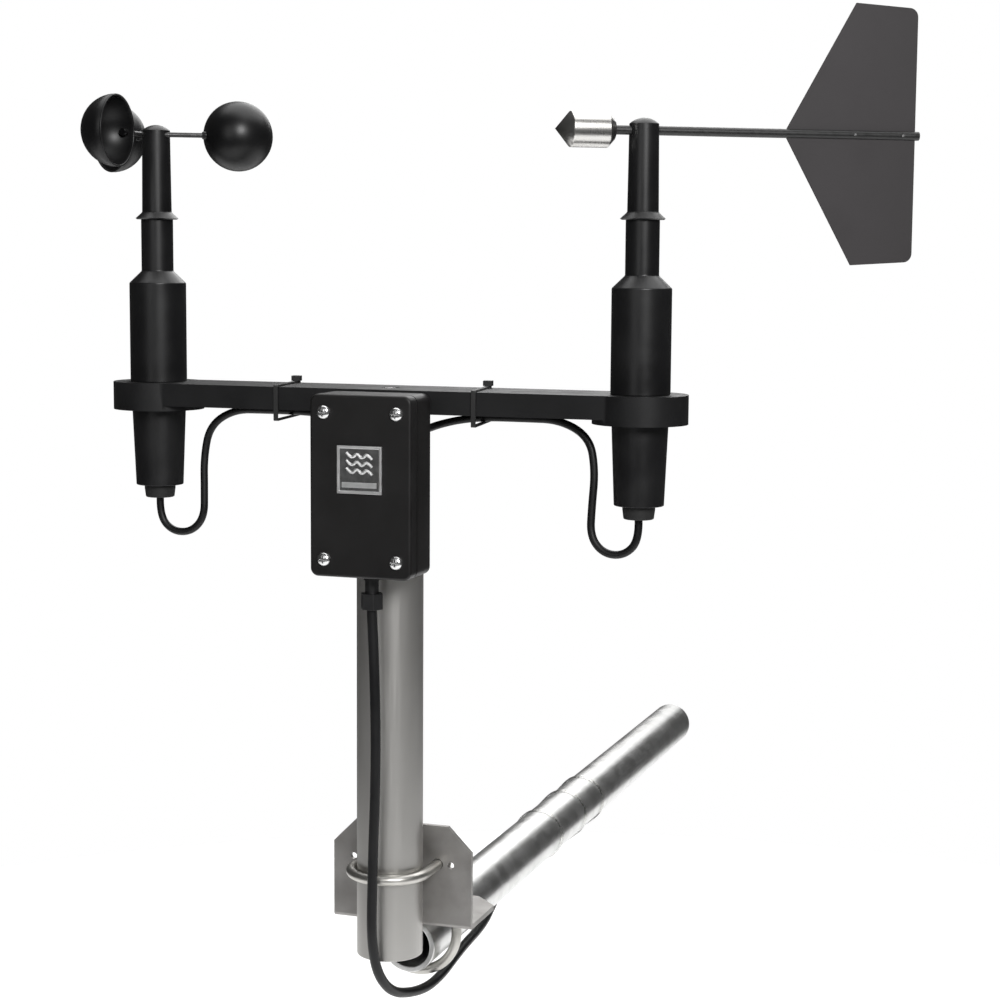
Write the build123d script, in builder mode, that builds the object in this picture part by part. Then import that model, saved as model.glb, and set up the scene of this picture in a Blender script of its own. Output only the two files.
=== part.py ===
"""Cup anemometer and wind vane on one crossarm, with mast stub, boom and junction box.

The origin is on the boom's axis at its tower end. +X runs along the crossarm towards the
vane, +Y along the boom towards the tower, +Z up. All sizes are in millimetres.
"""

from build123d import *
from math import cos, pi, radians, sin, tan
import os

os.makedirs("parts", exist_ok=True)

# Boom: the horizontal pipe that a tower holds
BOOM_DIAMETER = 33.4
BOOM_WALL = 3.4
BOOM_LENGTH = 643.5
BOOM_SETBACK = 29.5          # mast axis to the boom's near end

# Mast: the short upright tube
MAST_DIAMETER = 38.1
MAST_WALL = 3.2
MAST_LENGTH = 315.5
MAST_PROUD = 11.3            # how far the mast reaches below the bracket

# Bracket: folded sheet, one leaf behind the mast and one over the boom
BRACKET_WIDTH = 86.4
BRACKET_HEIGHT = 60.7
BRACKET_DEPTH = 56.0
BRACKET_SHEET = 3.0
BRACKET_CHAMFER = 14.6
SPARE_HOLE_DIAMETER = 4.0
SPARE_HOLE_SPACING = 61.0

# U-bolts and their nuts
ROD_DIAMETER = 6.0
MAST_BOLT_DROP = 23.0        # below the bracket's top edge
BOOM_BOLT_REACH = 26.0       # behind the mast leaf's front face
BOOM_BOLT_RADIUS = 25.0      # rod centreline
LEG_PROUD = 9.0              # thread standing out of its nut
NUT_FLATS = 10.0
NUT_HEIGHT = 5.0
WASHER_DIAMETER = 14.0
WASHER_HEIGHT = 1.5

# Crossarm with its two end collars
SENSOR_SPACING = 291.4
ARM_SIDE = 2.95              # arm beyond the mast on each side
ARM_WIDTH = MAST_DIAMETER + 2 * ARM_SIDE
ARM_HEIGHT = 13.0
COLLAR_DIAMETER = 52.5
COLLAR_HEIGHT = 16.0
PLUG_LENGTH = 25.0
ARM_SCREW_DIAMETER = 5.0
ARM_SCREW_HEAD = 10.0

# Sensor bodies, turned parts shared by the cup side and the vane side
BODY_DIAMETER = 32.7
BODY_HEIGHT = 57.2
SHOULDER_HEIGHT = 6.9
TUBE_DIAMETER = 18.4
NECK_DIAMETER = 12.4
NECK_TOP = 126.0
SPIGOT_DIAMETER = 27.8
SPIGOT_RISE = 9.0
TAPER_TOP_DIAMETER = 31.0
TAPER_BOTTOM_DIAMETER = 27.4
TAPER_LENGTH = 44.6
RELIEF_DIAMETER = 18.0
RELIEF_LENGTH = 7.4
BEARING_DIAMETER = 9.6
BEARING_HEIGHT = 4.0
SHAFT_DIAMETER = 3.2
SHAFT_BOTTOM = 18.0

# Turning hubs
SKIRT_BOTTOM = 93.9
SKIRT_DIAMETER = 24.6
SKIRT_HEIGHT = 4.3
SKIRT_HOLLOW = 1.6            # depth of the cone under the skirt
SKIRT_LAP = 0.2               # how far the tube reaches up inside the skirt
SLEEVE_BOTTOM_DIAMETER = 17.0
SLEEVE_TOP_DIAMETER = 16.0
SLEEVE_TOP = 144.8
DOME_HEIGHT = 3.2
SLEEVE_BORE = 14.0
SLEEVE_BORE_TOP = 128.0
HUB_SCREW_DIAMETER = 2.5
HUB_SCREW_HEIGHT = 132.5

# Cup wheel
CUP_DIAMETER = 41.4
CUP_WALL = 1.2
CUP_LIP = 0.5
CUP_REACH = 47.3             # hub axis to cup centre
CUP_HEIGHT = 142.3           # above the top of the crossarm
CUP_START_ANGLE = 31.1
CUP_COUNT = 3
CUP_ROD_DIAMETER = 2.8
CUP_BOSS_DIAMETER = 6.0
CUP_BOSS_LENGTH = 5.0
ROD_OFFSET = 5.0             # rod line behind the cup's rim plane

# Vane
VANE_ANGLE = 32.3
VANE_HEIGHT = 141.3
VANE_ROD_DIAMETER = 5.0
VANE_ROD_END = 158.4
WEIGHT_NOSE = 49.4
WEIGHT_TAIL = 16.7
WEIGHT_DIAMETER = 19.2
WEIGHT_CONE = 8.4
WEIGHT_BEVEL = 4.0
FIN_ROOT = 79.6
FIN_TIP = 120.0
FIN_END = 156.2
FIN_HALF_HEIGHT = 71.0
FIN_THICKNESS = 1.2
FIN_CORNER = 5.0
FIN_PIN_DIAMETER = 1.6

# Junction box, hung in front of the crossarm
BOX_WIDTH = 59.4
BOX_HEIGHT = 100.4
BOX_DEPTH = 29.6
BOX_SHIFT = 2.7              # box centre to mast axis, along the arm
BOX_DROP = 1.2               # below the top of the crossarm
BOX_WALL = 2.4
BOX_CORNER = 4.5
LID_DEPTH = 9.0
GASKET_HEIGHT = 1.0
LID_SCREW_DIAMETER = 4.0
LID_HEAD_DIAMETER = 7.7
LID_HEAD_HEIGHT = 2.2
LID_SCREW_X = 42.4
LID_SCREW_Z = 80.8
LID_POST_DIAMETER = 8.0
LABEL_SIDE = 26.2
LABEL_THICKNESS = 1.2
LABEL_RISE = 9.5             # above the box's middle
BOX_SCREW_DIAMETER = 4.0
BOX_SCREW_SPACING = 24.0
BOX_SCREW_LIFT = 5.5         # above the crossarm's underside
GROMMET_SPACING = 46.6
GROMMET_DROP = 22.0          # below the top of the crossarm
GROMMET_DIAMETER = 8.0
GROMMET_FLANGE = 1.2
STRIP_LENGTH = 44.0
STRIP_HEIGHT = 14.0
STRIP_DEPTH = 9.0
STRIP_WAYS = 6

# Gland under the box
GLAND_NECK_DIAMETER = 7.6
GLAND_NECK_LENGTH = 10.5
GLAND_FLATS = 11.4
GLAND_NUT_LENGTH = 9.0
GLAND_OFFSET = 12.3          # in front of the crossarm's front face

# Cords
LEAD_DIAMETER = 4.4
CABLE_DIAMETER = 5.8
HANK_TURNS_WIDE = 3
HANK_TURNS_DEEP = 3
HANK_BEND_RADIUS = 17.4
HANK_STRAIGHT = 74.0
HANK_NEAR_END = 340.0        # distance from the tower end of the boom
CONNECTOR_DIAMETER = 15.0
CONNECTOR_LENGTH = 42.0
TAIL_LENGTH = 26.0

# Cable ties
TIE_WIDTH = 2.6
TIE_THICKNESS = 1.0
ARM_TIE_X = (-63.5, 54.5)
ARM_TIE_SKEW = 8.0           # degrees off square
ARM_TIE_DROP = 5.4           # lead held under the arm
HANK_TIE_INSET = 46.0
CABLE_TIE_Y = -385.0

# Named clearances
FACE_GAP = 0.05              # faces that rest on each other
SLIP = 0.05                  # radial, pin or thread in its hole
HOLE_SLIP = 0.3              # radial, bolt in a drilled hole
TIE_GAP = 0.15

# Places worked out from the sizes above
BOOM_R = BOOM_DIAMETER / 2
MAST_R = MAST_DIAMETER / 2
MAST_Y = -(BOOM_LENGTH + BOOM_SETBACK)
BRACKET_Z = BOOM_R + FACE_GAP
MAST_Z = BRACKET_Z - MAST_PROUD
ARM_Z = MAST_Z + MAST_LENGTH
TOP_Z = ARM_Z + ARM_HEIGHT
LEAF_Y = MAST_Y + MAST_R + FACE_GAP
ARM_FRONT_Y = MAST_Y - ARM_WIDTH / 2
CUP_X = -SENSOR_SPACING / 2
VANE_X = SENSOR_SPACING / 2
TUBE_TOP = SKIRT_BOTTOM + SKIRT_LAP


def save(part, name):
    """Labels a finished piece and writes it under its node's name."""
    part.label = name
    export_step(part, "parts/" + name + ".step")


def pipe_profile(outer, wall):
    """The ring section of a pipe, centred on the sketch's own plane."""
    Circle(outer / 2)
    Circle(outer / 2 - wall, mode=Mode.SUBTRACT)


# ---------------------------------------------------------------- boom and mast
with BuildPart() as boom:
    with BuildSketch(Plane.XZ):
        pipe_profile(BOOM_DIAMETER, BOOM_WALL)
    extrude(amount=BOOM_LENGTH)
save(boom.part, "boom")

with BuildPart() as mast:
    with BuildSketch(Plane.XY.offset(MAST_Z)):
        with Locations((0, MAST_Y)):
            pipe_profile(MAST_DIAMETER, MAST_WALL)
    extrude(amount=MAST_LENGTH)
save(mast.part, "mast")

# ---------------------------------------------------------------- bracket
MAST_BOLT_Z = BRACKET_Z + BRACKET_HEIGHT - MAST_BOLT_DROP
MAST_BOLT_RADIUS = MAST_R + ROD_DIAMETER / 2 + HOLE_SLIP
BOOM_BOLT_Y = LEAF_Y + BOOM_BOLT_REACH
HOLE_R = ROD_DIAMETER / 2 + HOLE_SLIP


def leaf_outline(depth):
    """One leaf of the bracket from its fold at y = 0: two corners cut off at the far edge."""
    half = BRACKET_WIDTH / 2
    cut = BRACKET_CHAMFER
    Polygon(
        (-half, 0), (half, 0), (half, depth - cut), (half - cut, depth),
        (cut - half, depth), (-half, depth - cut), align=None,
    )


with BuildPart() as bracket:
    fold = (0, LEAF_Y + BRACKET_SHEET, BRACKET_Z)
    with BuildSketch(Plane(origin=fold, x_dir=(1, 0, 0), z_dir=(0, -1, 0))):
        leaf_outline(BRACKET_HEIGHT)
        with Locations((0, MAST_BOLT_Z - BRACKET_Z)):
            with GridLocations(2 * MAST_BOLT_RADIUS, 0, 2, 1):
                Circle(HOLE_R, mode=Mode.SUBTRACT)
            with GridLocations(SPARE_HOLE_SPACING, 0, 2, 1):
                Circle(SPARE_HOLE_DIAMETER / 2, mode=Mode.SUBTRACT)
    extrude(amount=BRACKET_SHEET)
    with BuildSketch(Plane(origin=(0, LEAF_Y, BRACKET_Z), x_dir=(1, 0, 0), z_dir=(0, 0, 1))):
        leaf_outline(BRACKET_DEPTH)
        with Locations((-BOOM_BOLT_RADIUS, BOOM_BOLT_REACH), (BOOM_BOLT_RADIUS, BOOM_BOLT_REACH)):
            Circle(HOLE_R, mode=Mode.SUBTRACT)
    extrude(amount=BRACKET_SHEET)
    front_edges = bracket.edges().filter_by(Axis.X).filter_by_position(Axis.Y, LEAF_Y - 0.01, LEAF_Y + 0.01)
    fillet(front_edges.sort_by(Axis.Z)[0], radius=BRACKET_SHEET - 0.5)
save(bracket.part, "bracket")


def u_bolt(plane, radius, leg):
    """A bent rod in the given plane: half circle below its centre, two legs up."""
    with BuildPart() as rod:
        with BuildLine(plane) as path:
            Polyline((-radius, leg), (-radius, 0))
            RadiusArc((-radius, 0), (radius, 0), -radius)
            Polyline((radius, 0), (radius, leg))
        with BuildSketch(Plane(origin=path.wires()[0] @ 0, z_dir=path.wires()[0] % 0)):
            Circle(ROD_DIAMETER / 2)
        sweep(path=path.wires()[0])
    return rod.part


def leg_nuts(plane, radius):
    """Washer and hex nut on both legs, standing on the plane."""
    with BuildPart() as nuts:
        with BuildSketch(plane.offset(FACE_GAP)):
            with Locations((-radius, 0), (radius, 0)):
                Circle(WASHER_DIAMETER / 2)
                Circle(ROD_DIAMETER / 2 + SLIP, mode=Mode.SUBTRACT)
        extrude(amount=WASHER_HEIGHT)
        with BuildSketch(plane.offset(FACE_GAP + WASHER_HEIGHT)):
            with Locations((-radius, 0), (radius, 0)):
                RegularPolygon(NUT_FLATS / 2, 6, major_radius=False)
                Circle(ROD_DIAMETER / 2 + SLIP, mode=Mode.SUBTRACT)
        extrude(amount=NUT_HEIGHT)
    return nuts.part


leaf_back = Plane(origin=(0, LEAF_Y + BRACKET_SHEET, MAST_BOLT_Z), x_dir=(-1, 0, 0), z_dir=(0, 1, 0))
leaf_top = Plane(origin=(0, BOOM_BOLT_Y, BRACKET_Z + BRACKET_SHEET), x_dir=(1, 0, 0), z_dir=(0, 0, 1))
NUT_STACK = FACE_GAP + WASHER_HEIGHT + NUT_HEIGHT + LEG_PROUD
mast_bolt_plane = Plane(origin=(0, MAST_Y, MAST_BOLT_Z), x_dir=(1, 0, 0), z_dir=(0, 0, 1))
BOOM_BOLT_Z = BOOM_BOLT_RADIUS - BOOM_R - ROD_DIAMETER / 2 - FACE_GAP
boom_bolt_plane = Plane(origin=(0, BOOM_BOLT_Y, BOOM_BOLT_Z), x_dir=(1, 0, 0), z_dir=(0, -1, 0))
MAST_BOLT_LEG = LEAF_Y + BRACKET_SHEET - MAST_Y + NUT_STACK
BOOM_BOLT_LEG = BRACKET_Z + BRACKET_SHEET - BOOM_BOLT_Z + NUT_STACK
save(u_bolt(mast_bolt_plane, MAST_BOLT_RADIUS, MAST_BOLT_LEG), "mast_u_bolt")
save(leg_nuts(leaf_back, MAST_BOLT_RADIUS), "mast_u_bolt_nuts")
save(u_bolt(boom_bolt_plane, BOOM_BOLT_RADIUS, BOOM_BOLT_LEG), "boom_u_bolt")
save(leg_nuts(leaf_top, BOOM_BOLT_RADIUS), "boom_u_bolt_nuts")

# ---------------------------------------------------------------- crossarm
with BuildPart() as crossarm:
    with BuildSketch(Plane.XY.offset(ARM_Z)):
        with Locations((0, MAST_Y)):
            Rectangle(SENSOR_SPACING, ARM_WIDTH)
        with Locations((0, MAST_Y)):
            Circle(ARM_SCREW_DIAMETER / 2 + HOLE_SLIP, mode=Mode.SUBTRACT)
    extrude(amount=ARM_HEIGHT)
    with BuildSketch(Plane.XY.offset(TOP_Z - COLLAR_HEIGHT)):
        with Locations((CUP_X, MAST_Y), (VANE_X, MAST_Y)):
            Circle(COLLAR_DIAMETER / 2)
    extrude(amount=COLLAR_HEIGHT)
    with BuildSketch(Plane.XY.offset(TOP_Z - COLLAR_HEIGHT)):
        with Locations((CUP_X, MAST_Y), (VANE_X, MAST_Y)):
            Circle(SPIGOT_DIAMETER / 2 + SLIP)
    extrude(amount=COLLAR_HEIGHT, mode=Mode.SUBTRACT)
    screw_line = (BOX_SHIFT, ARM_FRONT_Y, ARM_Z + BOX_SCREW_LIFT)
    with BuildSketch(Plane(origin=screw_line, x_dir=(1, 0, 0), z_dir=(0, -1, 0))):
        with GridLocations(BOX_SCREW_SPACING, 0, 2, 1):
            Circle(BOX_SCREW_DIAMETER / 2 + SLIP)
    extrude(amount=-10, mode=Mode.SUBTRACT)
    with BuildSketch(Plane.XY.offset(TOP_Z)):
        with Locations((0, MAST_Y)):
            Circle(ARM_SCREW_HEAD / 2 + HOLE_SLIP)
    extrude(amount=-(ARM_SCREW_HEAD - ARM_SCREW_DIAMETER) / 2, taper=45, mode=Mode.SUBTRACT)
save(crossarm.part, "crossarm")

with BuildPart() as mast_plug:
    with BuildSketch(Plane.XY.offset(ARM_Z - FACE_GAP)):
        with Locations((0, MAST_Y)):
            Circle(MAST_R - MAST_WALL - SLIP)
            Circle(ARM_SCREW_DIAMETER / 2 + SLIP, mode=Mode.SUBTRACT)
    extrude(amount=-PLUG_LENGTH)
save(mast_plug.part, "mast_plug")

with BuildPart() as arm_screw:
    head = (ARM_SCREW_HEAD - ARM_SCREW_DIAMETER) / 2
    with BuildSketch(Plane.XZ.offset(-MAST_Y)):
        Polygon(
            (0, TOP_Z - 0.3), (ARM_SCREW_HEAD / 2 - 0.3, TOP_Z - 0.3),
            (ARM_SCREW_DIAMETER / 2, TOP_Z - head - 0.3), (ARM_SCREW_DIAMETER / 2, ARM_Z - PLUG_LENGTH),
            (0, ARM_Z - PLUG_LENGTH), align=None,
        )
    revolve(axis=Axis((0, MAST_Y, 0), (0, 0, 1)))
    with BuildSketch(Plane.XY.offset(TOP_Z - 0.3)):
        with Locations((0, MAST_Y)):
            RegularPolygon(1.5, 6, major_radius=False)
    extrude(amount=-2, mode=Mode.SUBTRACT)
save(arm_screw.part, "arm_screw")


# ---------------------------------------------------------------- sensors
def turned(x, points):
    """A part turned about the upright line at x, from (radius, height above the arm) points."""
    with BuildPart() as piece:
        with BuildSketch(Plane(origin=(x, MAST_Y, TOP_Z), x_dir=(1, 0, 0), z_dir=(0, -1, 0))):
            Polygon(*points, align=None)
        revolve(axis=Axis((x, MAST_Y, 0), (0, 0, 1)))
    return piece.part


BORE_R = SPIGOT_DIAMETER / 2 + SLIP
SEAT_R = BEARING_DIAMETER / 2 + SLIP
CHAMBER_TOP = BODY_HEIGHT - 5
UPPER_SEAT = NECK_TOP - BEARING_HEIGHT
LOWER_SEAT = CHAMBER_TOP + BEARING_HEIGHT


def housing(x):
    """Body, cone, tube and neck in one turned piece, with a chamber and two bearing seats."""
    body = BODY_DIAMETER / 2
    tube = TUBE_DIAMETER / 2
    neck = NECK_DIAMETER / 2
    passage = SHAFT_DIAMETER / 2 + 1.0
    return turned(x, [
        (BORE_R, FACE_GAP), (body, FACE_GAP), (body, BODY_HEIGHT), (tube, BODY_HEIGHT + SHOULDER_HEIGHT),
        (tube, TUBE_TOP), (neck, TUBE_TOP), (neck, NECK_TOP), (SEAT_R, NECK_TOP), (SEAT_R, UPPER_SEAT),
        (passage, UPPER_SEAT), (passage, LOWER_SEAT), (SEAT_R, LOWER_SEAT), (SEAT_R, CHAMBER_TOP),
        (BORE_R, CHAMBER_TOP),
    ])


def base(x):
    """Tapered lower cover: its spigot screws up through the collar into the housing."""
    top = -COLLAR_HEIGHT - FACE_GAP
    bottom = top - TAPER_LENGTH
    spigot = SPIGOT_DIAMETER / 2
    hole = LEAD_DIAMETER / 2 + HOLE_SLIP
    return turned(x, [
        (hole, bottom), (TAPER_BOTTOM_DIAMETER / 2, bottom), (TAPER_TOP_DIAMETER / 2, top), (spigot, top),
        (spigot, SPIGOT_RISE), (spigot - 2, SPIGOT_RISE), (spigot - 2, bottom + 3), (hole, bottom + 3),
    ])


BASE_BOTTOM = -COLLAR_HEIGHT - FACE_GAP - TAPER_LENGTH


def strain_relief(x):
    """Rubber collar that the lead leaves the sensor through."""
    top = BASE_BOTTOM - FACE_GAP
    r = RELIEF_DIAMETER / 2
    bottom = top - RELIEF_LENGTH
    return turned(x, [(0, top), (r, top), (r, top - 2), (r - 0.7, bottom), (0, bottom)])


def ring(x, inner, outer, low, high):
    """A plain ring between two heights."""
    return turned(x, [(inner, low), (outer, low), (outer, high), (inner, high)])


SHAFT_TOP = CUP_HEIGHT - VANE_ROD_DIAMETER


def hub(x, rod_holes, rod_diameter):
    """Turning sleeve with its rain skirt below and domed top, drilled for what it carries."""
    sleeve_low = SLEEVE_BOTTOM_DIAMETER / 2
    sleeve_high = SLEEVE_TOP_DIAMETER / 2
    bore = SLEEVE_BORE / 2
    shaft = SHAFT_DIAMETER / 2 + SLIP
    skirt = SKIRT_DIAMETER / 2
    top = SLEEVE_TOP + DOME_HEIGHT
    dome_radius = (sleeve_high ** 2 + DOME_HEIGHT ** 2) / (2 * DOME_HEIGHT)
    with BuildPart() as piece:
        with BuildSketch(Plane(origin=(x, MAST_Y, TOP_Z), x_dir=(1, 0, 0), z_dir=(0, -1, 0))):
            with BuildLine():
                Polyline(
                    (0, top), (0, SHAFT_TOP), (shaft, SHAFT_TOP), (shaft, SLEEVE_BORE_TOP),
                    (bore, SLEEVE_BORE_TOP), (bore, SKIRT_BOTTOM + SKIRT_HOLLOW), (skirt - 0.8, SKIRT_BOTTOM),
                    (skirt, SKIRT_BOTTOM + 0.6),
                    (sleeve_low + 0.6, SKIRT_BOTTOM + SKIRT_HEIGHT - 0.8),
                    (sleeve_low, SKIRT_BOTTOM + SKIRT_HEIGHT), (sleeve_high, SLEEVE_TOP),
                )
                RadiusArc((sleeve_high, SLEEVE_TOP), (0, top), -dome_radius)
            make_face()
        revolve(axis=Axis((x, MAST_Y, 0), (0, 0, 1)))
        screw_start = (x, MAST_Y + shaft / 2, TOP_Z + HUB_SCREW_HEIGHT)
        with BuildSketch(Plane(origin=screw_start, x_dir=(1, 0, 0), z_dir=(0, 1, 0))):
            Circle(HUB_SCREW_DIAMETER / 2 + SLIP)
        extrude(amount=SLEEVE_BOTTOM_DIAMETER, mode=Mode.SUBTRACT)
        for hole in rod_holes:
            with BuildSketch(hole):
                Circle(rod_diameter / 2 + SLIP)
            extrude(amount=SLEEVE_BOTTOM_DIAMETER, mode=Mode.SUBTRACT)
    return piece.part


def hub_screw(x):
    """Grub screw that holds the hub on its shaft."""
    with BuildPart() as piece:
        start = SHAFT_DIAMETER / 2 + SLIP
        length = SLEEVE_TOP_DIAMETER / 2 - start - 0.4
        plane = Plane(origin=(x, MAST_Y + start, TOP_Z + HUB_SCREW_HEIGHT), x_dir=(1, 0, 0), z_dir=(0, 1, 0))
        with BuildSketch(plane):
            Circle(HUB_SCREW_DIAMETER / 2)
        extrude(amount=length)
        with BuildSketch(plane.offset(length)):
            RegularPolygon(0.75, 6, major_radius=False)
        extrude(amount=-2, mode=Mode.SUBTRACT)
    return piece.part


shaft_r = SHAFT_DIAMETER / 2
for side, x in (("cup", CUP_X), ("vane", VANE_X)):
    save(housing(x), side + "_housing")
    save(base(x), side + "_base")
    save(strain_relief(x), side + "_strain_relief")
    bearing_r = BEARING_DIAMETER / 2
    bearing_bore = shaft_r + SLIP
    save(ring(x, bearing_bore, bearing_r, UPPER_SEAT + FACE_GAP, NECK_TOP - 0.2), side + "_bearing_upper")
    save(ring(x, bearing_bore, bearing_r, CHAMBER_TOP + 0.2, LOWER_SEAT - FACE_GAP), side + "_bearing_lower")
    save(ring(x, 0, shaft_r, SHAFT_BOTTOM, SHAFT_TOP - 0.2), side + "_shaft")
    save(hub_screw(x), side + "_hub_screw")

# Inside the cup sensor: a magnet turning in a coil
COIL_LOW, COIL_HIGH = 22.0, 44.0
MAGNET_R = 5.5
save(ring(CUP_X, MAGNET_R + 1.0, SPIGOT_DIAMETER / 2 - 0.5, COIL_LOW, COIL_HIGH), "cup_coil")
save(ring(CUP_X, shaft_r, MAGNET_R, COIL_LOW + 3, COIL_HIGH - 3), "cup_magnet")

# Inside the vane sensor: a potentiometer with its wiper disc
POT_LOW, POT_HIGH = 16.0, 38.0
POT_R = SPIGOT_DIAMETER / 2 - 0.5
POT_WALL = 2.0
WIPER_LOW, WIPER_HIGH = 25.0, 28.0
save(turned(VANE_X, [
    (0, POT_LOW), (POT_R, POT_LOW), (POT_R, POT_HIGH), (shaft_r + 1, POT_HIGH),
    (shaft_r + 1, POT_HIGH - POT_WALL), (POT_R - POT_WALL, POT_HIGH - POT_WALL),
    (POT_R - POT_WALL, SHAFT_BOTTOM - 0.3), (0, SHAFT_BOTTOM - 0.3),
]), "vane_potentiometer")
save(ring(VANE_X, shaft_r, POT_R - POT_WALL - 1, WIPER_LOW, WIPER_HIGH), "vane_wiper")

# ---------------------------------------------------------------- cup wheel
CUP_R = CUP_DIAMETER / 2
SHELL_R = CUP_R - CUP_LIP
ROD_INNER = 3.2
ROD_OUTER = CUP_REACH - SHELL_R + CUP_WALL + CUP_BOSS_LENGTH / 2


def arm_plane(angle, distance, shift=0.0):
    """A plane square to the rod of one cup, at a distance from the hub's axis."""
    a = radians(angle)
    origin = (
        CUP_X + distance * cos(a) + shift * sin(a),
        MAST_Y + distance * sin(a) - shift * cos(a),
        TOP_Z + CUP_HEIGHT,
    )
    return Plane(origin=origin, x_dir=(-sin(a), cos(a), 0), z_dir=(cos(a), sin(a), 0))


def cup(angle):
    """A thin half sphere with a rolled lip; its mouth faces along the wheel's rim."""
    a = radians(angle)
    centre = (CUP_X + CUP_REACH * cos(a), MAST_Y + CUP_REACH * sin(a), TOP_Z + CUP_HEIGHT)
    mouth = (-sin(a), cos(a), 0)
    outer = SHELL_R
    inner = SHELL_R - CUP_WALL
    half = cos(radians(45))
    with BuildPart() as piece:
        with BuildSketch(Plane(origin=centre, x_dir=mouth, z_dir=(0, 0, 1))):
            with BuildLine():
                ThreePointArc((-outer, 0), (-outer * half, outer * half), (0, outer))
                Polyline((0, outer), (0, CUP_R), (CUP_WALL, CUP_R), (CUP_WALL, inner), (0, inner))
                ThreePointArc((0, inner), (-inner * half, inner * half), (-inner, 0))
                Line((-inner, 0), (-outer, 0))
            make_face()
        revolve(axis=Axis(centre, mouth))
        with BuildSketch(arm_plane(angle, CUP_REACH - SHELL_R - 1.0, ROD_OFFSET)):
            Circle(CUP_BOSS_DIAMETER / 2)
        extrude(amount=CUP_BOSS_LENGTH + CUP_WALL)
        with BuildSketch(arm_plane(angle, CUP_REACH - SHELL_R - 1.0, ROD_OFFSET)):
            Circle(CUP_ROD_DIAMETER / 2 + SLIP)
        extrude(amount=ROD_OUTER - CUP_REACH + SHELL_R + 1.0 + SLIP, mode=Mode.SUBTRACT)
    return piece.part


rod_holes = []
for number in range(1, CUP_COUNT + 1):
    angle = CUP_START_ANGLE + (number - 1) * 360 / CUP_COUNT
    save(cup(angle), "cup_" + str(number))
    with BuildPart() as cup_rod:
        with BuildSketch(arm_plane(angle, ROD_INNER + SLIP, ROD_OFFSET)):
            Circle(CUP_ROD_DIAMETER / 2)
        extrude(amount=ROD_OUTER - ROD_INNER - SLIP)
    save(cup_rod.part, "cup_rod_" + str(number))
    rod_holes.append(arm_plane(angle, ROD_INNER, ROD_OFFSET))
save(hub(CUP_X, rod_holes, CUP_ROD_DIAMETER), "cup_hub")

# ---------------------------------------------------------------- vane
vane_a = radians(VANE_ANGLE)
VANE_DIR = (cos(vane_a), sin(vane_a), 0)
VANE_CENTRE = (VANE_X, MAST_Y, TOP_Z + VANE_HEIGHT)
vane_side = Plane(origin=VANE_CENTRE, x_dir=VANE_DIR, z_dir=(sin(vane_a), -cos(vane_a), 0))
vane_axis = Axis(VANE_CENTRE, VANE_DIR)
ROD_R = VANE_ROD_DIAMETER / 2


WEIGHT_SOCKET = 10.0
w = WEIGHT_DIAMETER / 2
socket_end = -WEIGHT_TAIL - WEIGHT_SOCKET
with BuildPart() as vane_counterweight:
    with BuildSketch(vane_side):
        Polygon(
            (-WEIGHT_NOSE, 0), (-WEIGHT_NOSE + WEIGHT_CONE, w), (-WEIGHT_TAIL - WEIGHT_BEVEL, w),
            (-WEIGHT_TAIL, w * 0.55), (-WEIGHT_TAIL, ROD_R + SLIP), (socket_end, ROD_R + SLIP),
            (socket_end, 0), align=None,
        )
    revolve(axis=vane_axis)
save(vane_counterweight.part, "vane_counterweight")

with BuildPart() as vane_rod:
    with BuildSketch(Plane(origin=VANE_CENTRE, z_dir=VANE_DIR).offset(socket_end + SLIP)):
        Circle(ROD_R)
    extrude(amount=VANE_ROD_END - socket_end - SLIP)
    with BuildSketch(vane_side):
        with Locations((FIN_ROOT - 1, 0)):
            Rectangle(VANE_ROD_END, VANE_ROD_DIAMETER + 1, align=(Align.MIN, Align.CENTER))
    extrude(amount=FIN_THICKNESS / 2 + SLIP, both=True, mode=Mode.SUBTRACT)
    with BuildSketch(vane_side):
        with Locations((FIN_TIP, 0), (FIN_END - 8, 0)):
            Circle(FIN_PIN_DIAMETER / 2)
    extrude(amount=ROD_R + 1, both=True, mode=Mode.SUBTRACT)
save(vane_rod.part, "vane_rod")

with BuildPart() as vane_fin:
    with BuildSketch(vane_side):
        Polygon(
            (FIN_ROOT, 0), (FIN_TIP, FIN_HALF_HEIGHT), (FIN_END, FIN_HALF_HEIGHT - 2),
            (FIN_END, 2 - FIN_HALF_HEIGHT), (FIN_TIP, -FIN_HALF_HEIGHT), align=None,
        )
    extrude(amount=FIN_THICKNESS / 2, both=True)
    upright = vane_fin.edges().filter_by(Axis(VANE_CENTRE, vane_side.z_dir))
    rear = upright.sort_by(Axis(VANE_CENTRE, VANE_DIR))[-2:]
    fillet(rear, radius=FIN_CORNER)
    with BuildSketch(vane_side):
        with Locations((FIN_TIP, 0), (FIN_END - 8, 0)):
            Circle(FIN_PIN_DIAMETER / 2)
    extrude(amount=FIN_THICKNESS, both=True, mode=Mode.SUBTRACT)
save(vane_fin.part, "vane_fin")

with BuildPart() as fin_pins:
    with BuildSketch(vane_side):
        with Locations((FIN_TIP, 0), (FIN_END - 8, 0)):
            Circle(FIN_PIN_DIAMETER / 2 - SLIP)
    extrude(amount=ROD_R + 0.4, both=True)
save(fin_pins.part, "fin_pins")

rod_hole = Plane(origin=VANE_CENTRE, z_dir=VANE_DIR).offset(-SLEEVE_BOTTOM_DIAMETER / 2)
save(hub(VANE_X, [rod_hole], VANE_ROD_DIAMETER), "vane_hub")

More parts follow.
